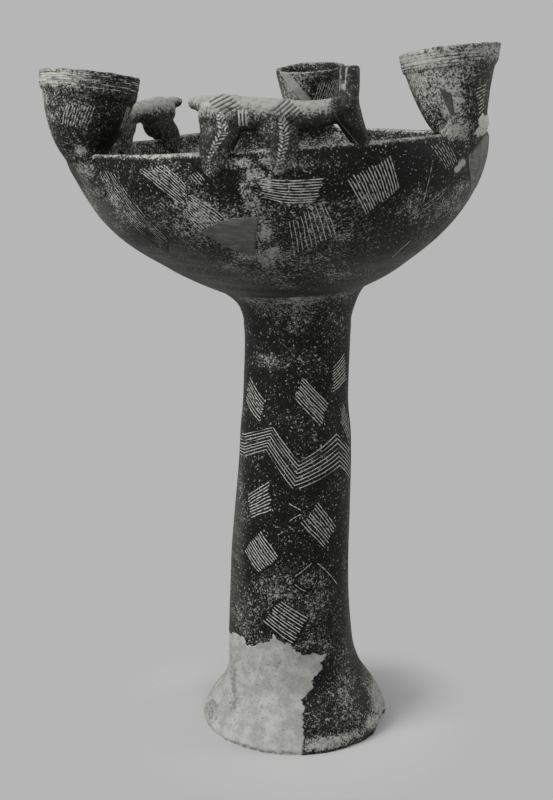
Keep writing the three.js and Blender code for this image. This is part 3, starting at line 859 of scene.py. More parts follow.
def make_plaster_ground():
    """Plaster: a pale ground with soft stains, dirt where the grime mark says, scraper marks round
    the foot and pinholes."""
    tree, given, place = new_ground("plaster ground", {
        "Pale": (0.4, 0.4, 0.38, 1), "Stain": (0.3, 0.3, 0.28, 1), "Streaks": 0.0,
    })
    stain = noise(tree, place, 60.0, 8.0, 0.72).ramp(0.38, 0.62)
    dirt = (noise(tree, place, 260.0, 6.0, 0.72) + marked(tree, "grime") * 0.16).ramp(0.60, 0.68)
    flat = node(tree, "ShaderNodeMapping", {"Vector": place, "Scale": (0.35, 0.35, 3.2)}).outputs["Vector"]
    scraped = noise(tree, flat, 120.0, 4.0, 0.6)
    holes = noise(tree, place, 520.0, 2.0, 0.5).ramp(0.26, 0.33, -1.0, 0.0)
    color = mixed(tree, stain, given["Pale"], given["Stain"])
    color = mixed(tree, scraped.ramp(0.46, 0.72) * given["Streaks"], color, scraper_grey)
    color = mixed(tree, dirt * 0.62, color, dirt_grey)
    color = mixed(tree, holes * -0.7, color, pinhole_grey)
    return finish_ground(tree, color, stain.ramp(0.0, 1.0, 0.82, 0.92), scraped * 0.8 + holes)


plaster_ground = make_plaster_ground()


def plaster_material(name, pale, stain, bump=0.5, streaks=0.0):
    """Restoration plaster of the stated greys, and how much its scraper marks show pale."""
    greys = {"Pale": (pale, pale, pale * 0.96, 1), "Stain": (stain, stain, stain * 0.95, 1)}
    return ground_material(name, plaster_ground, dict(greys, Streaks=streaks), bump, 0.0005, 0.2)


foot_plaster = plaster_material("foot plaster", 0.40, 0.285)
outer_skin = 0.058
outer_blend = 0.006


def draw_in(piece, middle, amount):
    """Draws a piece's outer skin in towards an upright line, and leaves its bore where it is."""
    co = places(piece)
    away = co[:, :2] - middle
    reach = np.linalg.norm(away, axis=1, keepdims=True)
    outside = np.clip((reach - outer_skin) / outer_blend, 0, 1)
    co[:, :2] -= away / np.maximum(reach, 1e-6) * amount * outside
    move_to(piece, co)


draw_in(foot_fill, np.array([foot_x - 0.002, foot_y]), 0.0004)
mark(foot_fill, "grime", patches(places(foot_fill), stem_spots(
    (-66, -50, 50, 5, 50, 34, 1.0), (-92, -30, 16, 12, 40, 12, 0.9), (-40, -90, 2, 60, 50, 4, 0.9),
    (-20, -70, 60, 50, 50, 50, 0.25),
)))
finish_piece(foot_fill, foot_plaster, "pale_plaster", "foot_plaster_fill")

# Bowl. Coil-built on the stem, thinned and burnished, its lip rounded; it sagged to one side in
# the drying. Scratched all over with panels of comb lines, and mended in plaster where it broke.


def in_climbs(drop):
    """Panels on the bowl give how far down from the lip they lie, in degrees of the climb."""
    return np.pi / 2 - np.radians(drop)


def bowl_scratch(limed, *points, across=0.45, **rest):
    """One loose scratch through (turn, drop) points on the bowl, in degrees."""
    return scratch(limed, *points, across=across, square=(1.0, 0.8), **rest)


bowl_panels = [
    hatched(15, (-62.3, 2.6), (-58.6, 12.5), (-73.6, 7.6), (-66.8, 19.4)),
    hatched(9, (-94.7, 6.6), (-87.3, 7.4), (-78.6, 7.6), (-94.3, 11.8), (-87.7, 14.0), (-80.5, 14.0)),
    hatched(10, (-79.5, 13.4), (-74.4, 26.3), (-87.9, 19.4), (-86.5, 33.2), limed=0.8),
    hatched(9, (-143.5, 3.2), (-140.5, 14.0), (-132.9, 33.0),
            (-135.0, 3.0), (-131.5, 13.0), (-126.5, 27.0), limed=0.5),
    hatched(9, (-118.2, 1.2), (-115.4, 4.0), (-112.6, 8.4),
            (-125.8, 2.6), (-120.8, 7.6), (-114.8, 14.6), limed=0.8),
    hatched(11, (-112.7, 10.0), (-108.0, 14.3), (-104.1, 19.0),
            (-115.8, 16.4), (-114.7, 20.2), (-113.0, 23.2), limed=0.8),
    hatched(4, (-109.4, 3.4), (-107.6, 6.4), (-111.4, 4.2), (-109.4, 7.6), limed=0.6),
    bowl_scratch(0.6, (-117.4, 19.2), (-116.4, 21.6), (-115.0, 24.4)),
    hatched(7, (-43.1, 0.6), (-38.1, 6.9), (-49.8, 1.1), (-42.4, 8.1), limed=0.65),
    bowl_scratch(0.55, (-48.7, 5.2), (-48.9, 10.0), (-48.7, 18.6)),
    hatched(2, (-40.4, 13.4), (-46.0, 17.4), (-52.5, 22.0),
            (-39.2, 14.2), (-45.0, 18.6), (-51.6, 23.4), limed=0.55),
    bowl_scratch(1.0, (-43.3, 30.7), (-45.1, 34.0), (-45.4, 38.4), across=0.6, broad=0.0009),
    hatched(10, (-20.0, 17.0), (-12.0, 33.0), (-30.0, 20.0), (-22.0, 36.0)),
    hatched(13, (22.0, 8.0), (30.0, 24.0), (10.0, 12.0), (18.0, 28.0)),
    hatched(9, (52.0, 8.0), (62.0, 15.0), (72.0, 17.0), (52.0, 15.0), (62.0, 22.0), (70.0, 24.0)),
    hatched(12, (104.0, 6.0), (111.0, 20.0), (92.0, 9.0), (99.0, 24.0)),
    hatched(10, (138.0, 5.0), (146.0, 15.0), (128.0, 9.0), (136.0, 20.0)),
    hatched(9, (170.0, 14.0), (178.0, 26.0), (160.0, 18.0), (168.0, 31.0)),
    hatched(9, (76.0, 30.0), (88.0, 42.0), (64.0, 36.0), (76.0, 48.0)),
]
for panel in bowl_panels:
    panel["unit"] = in_climbs

fill_panels = [
    hatched(1, (-112.2, 23.0), (-107.6, 20.7), (-102.9, 19.3), (-96.7, 19.2),
            (-111.6, 24.4), (-107.4, 28.0), (-103.6, 30.2), (-99.8, 31.5), unit=in_climbs),
    hatched(1, (-30.0, 0.6), (-31.5, 4.0), (-31.0, 7.5), (-28.0, 11.0), (-23.0, 15.5),
            (-8.5, 0.6), (-8.0, 4.5), (-8.0, 8.0), (-9.0, 12.0), (-12.5, 15.5), unit=in_climbs),
]


def bowl_skin():
    """The bowl as one closed skin: up the outside from the tip, over the round lip, and down the
    inside to the floor. Rows are closest near the lip."""
    columns = 440
    turn = np.linspace(0, 2 * np.pi, columns, endpoint=False)
    climbs = np.concatenate([np.linspace(0.05, 1.0, 44), np.linspace(1.0, np.pi / 2, 78)[1:]])
    t, c = np.meshgrid(turn, climbs)
    stretch = np.array([np.radians(1) * 0.185, np.radians(1) * 0.165])
    drop = 90 - np.degrees(c)
    sink = sunk_under(bowl_outside, bowl_panels + fill_panels, in_degrees(t), drop, stretch)
    rows = [lifted(bowl_outside, t, c, -sink)]
    half = bowl_wall / 2
    for angle in np.linspace(0, np.pi, 11)[1:-1]:
        radius = bowl_radius - half + half * np.cos(angle)
        height = rim_height - half + half * np.sin(angle)
        height = height + by_hand(turn, 0.3, 0.0005, 21) * np.sin(angle) + bowl_lift(turn, height)
        rows.append(as_fired(radius * np.cos(turn), radius * np.sin(turn), height)[None])
    for climb in np.concatenate([np.linspace(np.pi / 2, 0.9, 60), np.linspace(0.9, 0.06, 18)[1:]]):
        radius, height = bowl_profile(climb, bowl_radius - bowl_wall, bowl_depth - bowl_floor)
        radius = radius + by_hand(turn, height, 0.0006, 31) * min(radius / 0.1, 1)
        rows.append(bowl_round(radius, turn, height)[None])
    return np.concatenate(rows)


def rim_place(points, start):
    """Where points lie on the level rim, undoing what as_fired does: along, out and up."""
    x, y, z = points[:, 0] - foot_x, points[:, 1] - foot_y, points[:, 2]
    level, flat = x - shift_at_rim, z
    for _ in range(4):
        share = np.clip((flat - rim_height + bowl_depth) / bowl_depth, 0, 1)
        level = x - shift_at_tip - (shift_at_rim - shift_at_tip) * share
        flat = z - rim_rise * level * share
    angle = np.arctan2(y, level) - np.radians(start)
    angle = (angle + np.pi / 2) % (2 * np.pi) - np.pi / 2
    return angle * bowl_radius, np.hypot(level, y) - bowl_radius, flat - rim_height


bowl_poles = [as_fired(0.0, 0.0, rim_height - bowl_depth + up) for up in (0, bowl_floor)]
bowl_piece = closed_form("bowl_skin", bowl_skin(), bowl_poles)


def bowl_places(*rows):
    """Spots on the bowl, from rows of six: degrees round it and down from the lip, the reach in X,
    Y and Z in millimetres, the strength."""
    return [(bowl_outside(np.radians(row[0]), in_climbs(row[1])), np.array(row[2:5]) * 0.001, row[5])
            for row in rows]


bowl_spots = bowl_places(
    (-104, 1, 9, 20, 4, 1.0), (-98.5, 2, 16, 20, 6, 1.15), (-90.5, 1.5, 14, 20, 5, 1.05),
    (-96, 5.5, 10, 20, 10, 1.15), (-98, 9, 8, 20, 11, 1.05), (-95.6, 14, 6, 20, 14, 1.05),
    (-92.6, 8, 6, 20, 9, 0.95), (-94.4, 23, 7, 20, 14, 1.15), (-97.6, 14.5, 9, 20, 12, 1.0),
    (-96.6, 19, 10, 20, 6, 1.0), (-93, 31, 12, 30, 10, 1.05), (-102.5, 9, 14, 30, 16, 0.42),
    (-148, 3.5, 12, 40, 13, 0.85), (-146, 12, 12, 40, 14, 0.70), (-103, 33, 22, 50, 6, 0.95),
    (-96, 36, 16, 50, 14, 0.85), (-99, 46, 40, 50, 14, 0.85), (-100, 58, 60, 50, 12, 0.75),
    (-96, 68, 80, 60, 7, 0.85), (-104, 12, 20, 50, 10, 0.45), (-84, 3, 34, 50, 6, 0.62),
    (-125, 4, 60, 60, 12, 0.45), (-152, 10, 14, 60, 30, 0.40), (-136, 10, 20, 50, 16, 0.60),
    (-128, 16, 20, 50, 16, 0.25), (-112, 10, 20, 50, 16, 0.45), (-35.6, 6.9, 4, 10, 3.6, 2.2),
    (-37.6, 8.4, 3.8, 10, 3.6, 2.2), (-80, 42, 60, 60, 10, 0.45), (80, 20, 50, 50, 30, 0.60),
    (150, 12, 50, 50, 30, 0.55), (20, 30, 50, 60, 30, 0.50),
)
bowl_bare = bowl_places(
    (-56, 16, 60, 70, 34, 0.35), (-50, 26, 50, 70, 30, 0.35), (-66, 34, 50, 60, 26, 0.30),
    (-136, 30, 30, 60, 30, 0.40),
)
# Smooth grey with painted sheen: the lower front flanks take it as a painted reflection of the pale floor,
# and the two side contours as painted sheen; the two spots behind are smooth places.
bowl_smooth_and_sheen_spots = bowl_places(
    (-134, 36, 46, 60, 18, 1.15), (-120, 47, 50, 60, 15, 1.15), (-108, 56, 40, 60, 10, 0.90),
    (-90, 66, 90, 60, 8, 0.55), (-154, 22, 14, 60, 40, 0.80), (-6, 8, 11, 80, 34, 1.6),
    (-10, 26, 12, 80, 30, 1.4), (-24, 42, 30, 80, 14, 1.0), (-46, 40, 50, 60, 14, 0.70),
    (-60, 52, 50, 60, 14, 0.70), (140, 40, 60, 80, 20, 0.60), (40, 40, 60, 80, 20, 0.60),
)


def bowl_wear_and_painted_light(points):
    """The bowl's wear and painted light: its spots, its lip pale from wear and a painted highlight, and its
    inside lightened as painted light, less where it stayed bare.
    """
    along, out, up = rim_place(points, 0)
    up = up - bowl_lift(along / bowl_radius, rim_height + up)
    # Wear and a painted highlight along the lip; painted light over the whole inside wall, as where a lamp
    # falls on it.
    lip = 1.05 * np.exp(-((up + 0.0010) / 0.0024) ** 2)
    inside = 0.62 * np.clip((-0.006 - out) / 0.004, 0, 1)
    return np.maximum.reduce([patches(points, bowl_spots), lip, inside]) - patches(points, bowl_bare)


def bowl_smooth_and_sheen(points):
    """Where the bowl is smooth and grey with painted sheen: its lower flanks, as a painted reflection of
    the pale floor, and its two side contours.
    """
    return np.clip(patches(points, bowl_smooth_and_sheen_spots), 0, 1)


# The bowl's wear mark also carries its painted highlight and painted light; its smooth mark carries painted
# sheen.
mark(bowl_piece, "wear_and_painted_light", bowl_wear_and_painted_light(places(bowl_piece)))
mark(bowl_piece, "rub_and_sheen", bowl_smooth_and_sheen(places(bowl_piece)))
bowl_clay = clay_material("bowl clay", 0.0045, 0.060, 0.40, -0.020)
finish_piece(bowl_piece, bowl_clay, "dark_clay", "bowl")

bowl_panels_piece = scratched_panels("bowl_scratched_panels", bowl_outside, bowl_panels, 80)
mark(bowl_panels_piece, "wear_and_painted_light", bowl_wear_and_painted_light(places(bowl_panels_piece)))
finish_piece(bowl_panels_piece, bowl_clay, "dark_clay")


def fill_slab(name, surface, panel, lift):
    """A thin closed slab of smooth plaster between two rails, its surface lifted by a distance."""
    smooth = dict(panel, deep=0.0)
    points, faces, _ = scratched_panel(lambda a, b: lifted(surface, a, b, lift), smooth, 7)
    return make_mesh(name, points, faces)


dark_fill = plaster_material("toned plaster", 0.125, 0.080, 0.3, 0.35)
side_plaster = plaster_material("side plaster", 0.15, 0.085, 0.3, 0.3)
front_fill = fill_slab("bowl_front_plaster", bowl_outside, fill_panels[0], 0.0006)
finish_piece(front_fill, dark_fill, "dark_plaster", "bowl_front_fill")
side_fill = fill_slab("bowl_side_plaster", bowl_outside, fill_panels[1], 0.0004)
finish_piece(side_fill, side_plaster, "dark_plaster", "bowl_side_fill")

# Cups. Three pinched cups luted to the rim, each a bowed cone under a flat collar that is
# combed all the way round; their feet are smoothed down over the wall on both sides.

cup_wall = 0.0065
cup_reach = [
    (-0.22, 0.12), (-0.14, 0.36), (0, 0.5), (0.12, 0.56), (0.24, 0.65), (0.42, 0.76), (0.6, 0.85),
    (0.76, 0.92), (0.8, 0.97), (1, 1),
]
plain_reach = cup_reach[:7] + [(0.8, 0.94), (1, 1)]

# A cup slides in by its lean less its tip, in degrees, and tips its mouth by its tip. outer,
# before, after and spread widen its foot on the bowl's outside and along the rim, swell and skew
# fill out its foot and its side, and start is the share of its height that its foot takes up.
cups = {
    "left": dict(
        angle=210, radius=0.046, height=0.072, lean=9, tip=9, drawn_in=0, out=0.0025, start=0.24,
        outer=1.40, before=1.22, after=0.74, spread=1.2, swell=0, skew=0.115,
        reach=cup_reach, collar_lines=7, limed=0.6, seed=51),
    "right": dict(
        angle=-34.6, radius=0.046, height=0.0795, lean=10.3, tip=5, drawn_in=0.0065, out=0, start=0.24,
        outer=0.72, before=0.95, after=0.95, spread=0, swell=0.0070, skew=0,
        reach=cup_reach, collar_lines=5, limed=0.25, seed=61),
    "back": dict(
        angle=78.5, radius=0.039, height=0.072, lean=9, tip=9, drawn_in=0, out=0, start=0.2,
        outer=1.30, before=1.22, after=1.22, spread=0.3, swell=0, skew=0,
        reach=plain_reach, collar_lines=2, limed=0.3, seed=71),
}


def degrees_from(turn, middle):
    """How far a turn in degrees lies from another, between -180 and 180."""
    return (turn - middle + 180) % 360 - 180


def cup_place(cup, x, y, z):
    """A point of the upright cup where it really lies: its middle line slides in, the outer side
    is drawn in, the cup tips, and it stands on the rim."""
    share = np.clip(z / cup["height"], 0, 1)
    facing = x / np.maximum(np.hypot(x, y), 1e-4)
    slide = np.tan(np.radians(cup["lean"] - cup["tip"])) * z
    x = x - slide - cup["drawn_in"] * np.sin(np.pi * share) * (1 + facing) / 2
    tip, angle = np.radians(cup["tip"]), np.radians(cup["angle"])
    x, z = x * np.cos(tip) - z * np.sin(tip), x * np.sin(tip) + z * np.cos(tip)
    x = x + bowl_radius - bowl_wall / 2 + cup["out"]
    x, y = x * np.cos(angle) - y * np.sin(angle), x * np.sin(angle) + y * np.cos(angle)
    return as_fired(x, y, z + rim_height)


def cup_outside(cup):
    """The outside of a cup as a surface of the turn round it and the share of its height."""
    def surface(turn, share):
        fuller = cup["skew"] * (1 + np.cos(turn - 2.25)) / 2 * np.sin(np.pi * np.clip(share, 0, 1))
        radius = cup["radius"] * through(cup["reach"], share + fuller)
        radius = radius + by_hand(turn, share * 0.08, 0.0005, cup["seed"])
        return cup_place(cup, radius * np.cos(turn), radius * np.sin(turn), share * cup["height"])
    return surface


def wall_surface(turn, over):
    """The bowl's wall near the lip: over is the way along it from the crest, out and down if
    above nought, in and down if below."""
    half = bowl_wall / 2
    bend = np.clip(np.abs(over) / half, 0, np.pi / 2)
    past = np.maximum(np.abs(over) - half * np.pi / 2, 0)
    outer = over > 0
    depth = np.where(outer, bowl_depth, bowl_depth - bowl_floor) - half
    reach = np.where(outer, bowl_radius, bowl_radius - bowl_wall)
    drop = np.arcsin(np.clip(past / depth, 0, 0.9) ** (depth_power / 2))
    side, fall = np.cos(drop) ** (2 / side_power), np.sin(drop) ** (2 / depth_power)
    low_radius, low_height = reach * side, rim_height - half - depth * fall
    sign = np.where(outer, 1, -1)
    lip_radius = bowl_radius - half + half * np.sin(bend) * sign
    lip_height = rim_height - half + half * np.cos(bend)
    low_radius = low_radius + np.where(outer, off_round(turn, low_height), 0)
    radius = np.where(past > 0, low_radius, lip_radius)
    height = np.where(past > 0, low_height, lip_height)
    return bowl_round(radius, turn, height)


def cup_skin(cup):
    """A cup as one closed skin: from a pole inside the bowl's wall out to where its foot lands on
    the wall, up a smoothed skirt, up the side and the combed collar, over the lip, and inside.
    Its lime, and the painted shade in its collar's unlimed grooves, come with it, for each point and for
    the two poles."""
    columns = 288
    turn = np.linspace(0, 2 * np.pi, columns, endpoint=False)
    surface, around = cup_outside(cup), np.radians(cup["angle"])
    radius, height, start_share = cup["radius"], cup["height"], cup["start"]

    def ring(reach, up):
        """A row once round the cup, at a reach from its middle line and a height."""
        return cup_place(cup, reach * np.cos(turn), reach * np.sin(turn), up)

    skirt = 1.13 * radius * through(cup["reach"], np.array(start_share))
    sideways = np.where(np.sin(turn) > 0, cup["after"], cup["before"])
    sideways = sideways + cup["spread"] * np.maximum(np.cos(turn), 0) ** 2 * (np.sin(turn) > 0)
    aside = skirt * sideways * np.sin(turn) / bowl_radius
    over = skirt * np.cos(turn) * np.where(np.cos(turn) > 0, cup["outer"], 1.0)
    land, inward = [wall_surface(around + aside * share, over * share) for share in (1, 0.94)]
    seat = cup_place(cup, 0.0, 0.0, 0.0) - (0, 0, 0.006)
    leave = surface(turn, np.full(columns, start_share))
    down = directions(leave - surface(turn, np.full(columns, start_share + 0.02)))
    outward = directions(leave - cup_place(cup, 0.0, 0.0, start_share * height))
    away = degrees_from(np.degrees(turn), 38)
    swell = cup["swell"] * np.exp(-(away / 36) ** 2)[:, None] * outward
    sunk_row = land + (seat - land) * 0.10 - (0, 0, 0.0012)
    rows = [seat + (sunk_row - seat) * share for share in (0.25, 0.6, 1.0)]
    for share in np.linspace(0, 1, 26)[:-1]:
        row = bridged(land, directions(inward - land), leave, -down, share, 1.0)
        rows.append(row + swell * np.sin(np.pi * share ** 0.95))
    first = len(rows)
    draw = np.random.default_rng(cup["seed"] + 1)
    shares = np.concatenate([np.linspace(start_share, 0.745, 70), np.linspace(0.75, 0.985, 90)])
    t, s = np.meshgrid(turn, shares)
    cutting, pale = np.zeros((2,) + t.shape)
    for middle in np.linspace(0.805, 0.955, cup["collar_lines"]):
        phase, other, press = draw.uniform(0, 6), draw.uniform(0, 6), draw.uniform(0.5, 1)
        line = middle + 0.007 * np.sin(t + phase) + 0.004 * np.sin(3 * t + other)
        away = np.abs(s - line) * height
        strength = press * np.clip(0.7 + 0.45 * np.sin(4 * t + other), 0.1, 1)
        cutting = np.maximum(cutting, np.exp(-(away / 0.0005) ** 2) * strength)
        gone = np.clip(0.35 + 0.6 * np.sin(3 * t + phase) + 0.45 * np.sin(13 * t + other), 0, 1)
        pale = np.maximum(pale, np.exp(-(away / 0.00038) ** 2) * gone * cup["limed"])
    stretch = np.array([np.radians(1) * radius * 0.8, height / 100])
    sink = sunk_under(surface, cup["panels"], np.degrees(t), s * 100, stretch)
    rows += list(lifted(surface, t, s, -0.0006 * cutting - sink))
    ragged = by_hand(turn, 0.2, 0.0006, cup["seed"] + 2) + by_hand(6 * turn, 0.1, 0.0004, cup["seed"] + 3)
    for away, up in ((0.001, 0.993), (0.0022, 0.999), (0.0036, 1.0), (0.0050, 0.996), (0.0060, 0.985)):
        rows.append(ring(radius - away, height * up + ragged))
    for share in np.linspace(0.96, 0.2, 34):
        rows.append(ring(radius * through(cup["reach"], np.array(share)) - cup_wall, height * share))
    for inner, up in ((0.36, 0.165), (0.2, 0.15), (0.08, 0.145)):
        rows.append(ring(radius * inner, height * up))
    poles = [seat, cup_place(cup, 0.0, 0.0, height * 0.14)]
    lime, shade = np.zeros((2, len(rows), columns))
    lime[first:first + len(pale)] = pale
    # Painted shade: the collar's grooves that hold no lime darken as if in shadow.
    shade[first:first + len(pale)] = 0.95 * cutting * (pale < 0.15)
    return np.stack(rows), poles, np.append(lime, (0, 0)), np.append(shade, (0, 0))


def in_shares(share):
    """Panels on a cup give hundredths of its height."""
    return share * 0.01


cup_panels = {
    "left": [
        hatched(10, (43.0, 61), (32.0, 32), (79.0, 60), (71.0, 28), limed=0.55),
        hatched(9, (130.0, 64), (136.0, 34), (168.0, 64), (174.0, 36)),
        hatched(9, (260.0, 62), (254.0, 30), (296.0, 62), (290.0, 30)),
    ],
    "right": [
        hatched(8, (336.0, 50), (390.0, 62), (344.0, 24), (384.0, 38), limed=0.8),
        hatched(4, (268.0, 72), (276.0, 59), (280.0, 73), (287.0, 62), limed=0.5),
        hatched(9, (84.0, 60), (90.0, 30), (122.0, 62), (128.0, 32)),
        hatched(9, (170.0, 60), (176.0, 30), (208.0, 62), (214.0, 32)),
    ],
    "back": [
        hatched(12, (206.0, 84), (194.0, 48), (262.0, 84), (250.0, 46), limed=0.7),
        hatched(9, (340.0, 64), (334.0, 32), (384.0, 64), (378.0, 32)),
        hatched(9, (70.0, 64), (64.0, 32), (104.0, 64), (98.0, 32)),
    ],
}
cup_clay = clay_material("cup clay", 0.0080, 0.120, 0.40, 0.008)
cup_fills = {
    "right": (hatched(1, (285.6, 54), (288.2, 39), (291.2, 26), (294.7, 49), (295.1, 36), (295.2, 25)),
              plaster_material("smoked plaster", 0.080, 0.055), "dark_plaster"),
    "back": (hatched(1, (134.0, 98), (153.0, 78), (173.0, 56), (150.0, 98), (166.0, 80), (186.0, 58)),
             plaster_material("dusty plaster", 0.33, 0.22), "pale_plaster"),
}
cup_wear = {
    "left": [(62, 2, 14, 7, 1.2), (10, 88, 56, 13, 1.30), (350, 66, 30, 14, 0.75), (345, 40, 40, 30, 0.35),
             (60, 88, 60, 14, 0.35)],
    "right": [(292, 38, 32, 32, 0.95), (292, 8, 36, 16, 1.2), (262, 90, 80, 16, 1.05),
              (10, 92, 40, 16, 1.05), (250, 60, 34, 50, 0.80), (330, 90, 60, 16, 1.0),
              (300, 66, 60, 14, 0.60)],
    "back": [(140, 80, 34, 40, 0.80), (176, 96, 60, 8, 0.60), (60, 60, 60, 40, 0.50)],
}


def cup_worn(name, turn, share):
    """A cup's wear at a turn and hundredths of its height: soft spots given as turn, height,
    their two reaches and strength, and the lip, which wears most."""
    wear_and_painted_light = 0.75 * np.exp(-((share - 101) / 3.0) ** 2)
    for middle, level, wide, tall, strength in cup_wear[name]:
        gap = degrees_from(turn, middle)
        wear_and_painted_light = np.maximum(wear_and_painted_light, strength * np.exp(-(gap / wide) ** 2 - ((share - level) / tall) ** 2))
    return wear_and_painted_light


def cup_painted_shadow(name, turn, share):
    """Painted shadow on the left cup, low down on its right, where it turns away from the lamp and towards
    the animal.
    """
    gap = degrees_from(turn, 128)
    above = np.clip((share - 1) / 8, 0, 1)
    return 0.92 * (name == "left") * above * np.exp(-(gap / 46) ** 4 - ((share - 14) / 42) ** 4)


def cup_patch(name, turn, share):
    """The white plaster smeared on the right cup's foot: a band with an uneven edge."""
    gap = degrees_from(turn, 24) + 4 * np.sin(share / 2.1) + 2 * np.sin(share / 0.9)
    level = share - 11 + 1.5 * np.sin(np.radians(turn) * 7) + np.sin(np.radians(turn) * 17)
    across = np.clip((38 - np.abs(gap)) / 3, 0, 1)
    return (name == "right") * across * np.clip((12 - np.abs(level)) / 2.5, 0, 1)


def cup_coordinates(cup, points):
    """The turn and hundredths of height of points on a cup, from its upright frame."""
    tip = np.radians(cup["tip"])
    y, out, up = rim_place(points, cup["angle"])
    x = out + bowl_wall / 2
    level, height = x * np.cos(tip) + up * np.sin(tip), -x * np.sin(tip) + up * np.cos(tip)
    level = level - cup["out"] + np.tan(np.radians(cup["lean"] - cup["tip"])) * height
    return np.degrees(np.arctan2(y, level)) % 360, 100 * height / cup["height"]


for name, cup in cups.items():
    cup["panels"] = [dict(panel, unit=in_shares) for panel in cup_panels[name]]
    rows, poles, lime, shade = cup_skin(cup)
    surface = cup_outside(cup)
    piece = closed_form("cup_" + name + "_skin", rows, poles)
    turn, share = cup_coordinates(cup, places(piece))
    onto_wall = np.clip(-share / 16, 0, 1)
    on_foot = bowl_wear_and_painted_light(places(piece)) - 0.165
    mark(piece, "wear_and_painted_light", cup_worn(name, turn, share) * (1 - onto_wall) + on_foot * onto_wall)
    # The cup's foot on the wall takes the bowl's smooth grey with its painted sheen.
    mark(piece, "rub_and_sheen", bowl_smooth_and_sheen(places(piece)) * onto_wall)
    mark(piece, "lime", np.maximum(lime, cup_patch(name, turn, share)))
    # Painted shade: the collar's unlimed grooves and the left cup's shadowed lower right.
    mark(piece, "shade", np.maximum(shade, cup_painted_shadow(name, turn, share)))
    finish_piece(piece, cup_clay, "dark_clay", "cup_" + name)
    panels = scratched_panels("cup_" + name + "_scratched_panels", surface, cup["panels"], cup["seed"] + 5)
    mark(panels, "wear_and_painted_light", cup_worn(name, *cup_coordinates(cup, places(panels))))
    finish_piece(panels, cup_clay, "dark_clay")
    if name in cup_fills:
        panel, material, slot = cup_fills[name]
        fill = fill_slab("cup_" + name + "_plaster", surface, dict(panel, unit=in_shares), 0)
        finish_piece(fill, material, slot, "cup_" + name + "_fill")

# Animals. Two long-bodied horned animals modelled in solid rolls of clay astride the rim, each
# leg pair pinched down over the wall; luted, smoothed together and scratched on rump and shoulder.

wall_middle = -bowl_wall / 2
drawn_length = 0.163

# hind and fore give, for a pair of legs, where it stands along the body, how far it flares towards
# the belly, both in millimetres, and a factor for how broad it is. belly is half the body's height
# at the belly, in millimetres; length is in metres.
animals = {
    "front": dict(
        angle=-111.0, length=0.163, rise=1.0, hind=(25, 4.5, 1.1), fore=(84, -4.5, 1), belly=13.8, seed=5),
    "back": dict(
        angle=121.5, length=0.165, rise=0.94, hind=(18.5, 12, 0.95), fore=(89, -3, 1), belly=11.5, seed=6),
}


def on_rim(start, along, out, up):
    """A place on the rim: along it from an angle, out from the outer wall, and over the lip."""
    angle = np.radians(start) + along / bowl_radius
    radius = bowl_radius + out
    return as_fired(radius * np.cos(angle), radius * np.sin(angle), rim_height + up)


def limb_rows(start, stations, around=30, rings=44, blunt=14):
    """A rounded bar of clay along a path on the rim. Stations are (along, out, up, half height,
    half width) in millimetres; both ends close in a dome whose bluntness is a power."""
    table = np.array(stations, float) * 0.001
    place = np.linspace(0, 1, len(table))
    u = np.linspace(0, 1, rings + 2)[1:-1]
    t = (1 - np.cos(np.pi * u)) / 2
    centre, ahead, behind = [np.stack([through(np.stack([place, table[:, k]], -1), np.clip(t + d, 0, 1))
                                       for k in range(3)], -1) for d in (0, 0.01, -0.01)]
    heading = directions(ahead - behind)
    sideways = directions(np.array([0, 1, 0]) - heading * heading[:, 1:2])
    upward = np.cross(heading, sideways)
    dome = np.sqrt(np.maximum(1 - np.abs(2 * t - 1) ** blunt, 0))
    tall, wide = [through(np.stack([place, table[:, k]], -1), t) * dome for k in (3, 4)]
    angle = np.linspace(0, 2 * np.pi, around, endpoint=False)
    rows = centre[:, None] + upward[:, None] * (tall[:, None] * np.cos(angle))[..., None]
    rows = rows + sideways[:, None] * (wide[:, None] * np.sin(angle))[..., None]
    return on_rim(start, *np.moveaxis(rows, -1, 0)), on_rim(start, *table[[0, -1], :3].T)


def animal_stations(animal):
    """Every roll of clay of one animal, as stations from the tail's tip towards the muzzle."""
    unit, rise, belly = animal["length"] / drawn_length, animal["rise"], animal["belly"]

    def at(s, w, h, tall, wide):
        return (s * unit, wall_middle * 1000 + w, h * rise, tall, wide)

    def leg(side, s, flare, broad):
        return [at(s + flare, 3 * side, 30, 20, 7), at(s + flare - 0.5, 5 * side, 19, 18, 7),
                at(s + flare / 2, 6.6 * side, 12, 14.5 * broad, 7), at(s, 7.4 * side, 4, 12.6 * broad, 6.8),
                at(s - 2, 7.2 * side, -5, 11.0 * broad, 4.8),
                at(s - 6, 5.0 * side - 0.45, -14, 7.6 * broad, 2.6),
                at(s - 8.5, 3.6 * side - 2.3, -21, 4.4 * broad, 1.2)]

    def horn(side):
        return [at(139, 6 * side, 30, 8, 4.5), at(140.5, 6.4 * side, 42, 7.2, 4.6),
                at(141.5, 6.8 * side, 54, 6.8, 4.6), at(141, 7.6 * side, 67, 6.4, 4.4)]

    return [
        [at(10, 0, 33, 11, 9.5), at(24, 0, 32, 16.5, 12.5), at(40, 0, 31.5, 16.5, 12.5),
         at(58, 0, 31 + (13.8 - belly), belly, 12), at(84, 0, 28, 14.5, 12.5), at(104, 0, 28, 12.2, 10.5),
         at(124, 0, 30, 11.5, 9.5), at(143, 0, 35, 12, 9)],
        [at(142, 0, 53, 7.5, 7.5), at(140.5, 0, 40, 9.5, 9), at(140.5, 0, 28, 12, 9.2),
         at(146, 0, 16, 10.2, 8), at(152, 0, 6, 8.2, 6.8), at(156, 0, -1, 6.4, 6)],
        horn(1), horn(-1),
        [at(24, 0, 38, 9, 8), at(10, 0, 41.5, 7.0, 6.2), at(4, 0, 42, 5.4, 5), at(0, 0, 41, 4.6, 4.6)],
        *[leg(side, *animal[pair]) for pair in ("hind", "fore") for side in (1, -1)],
    ]


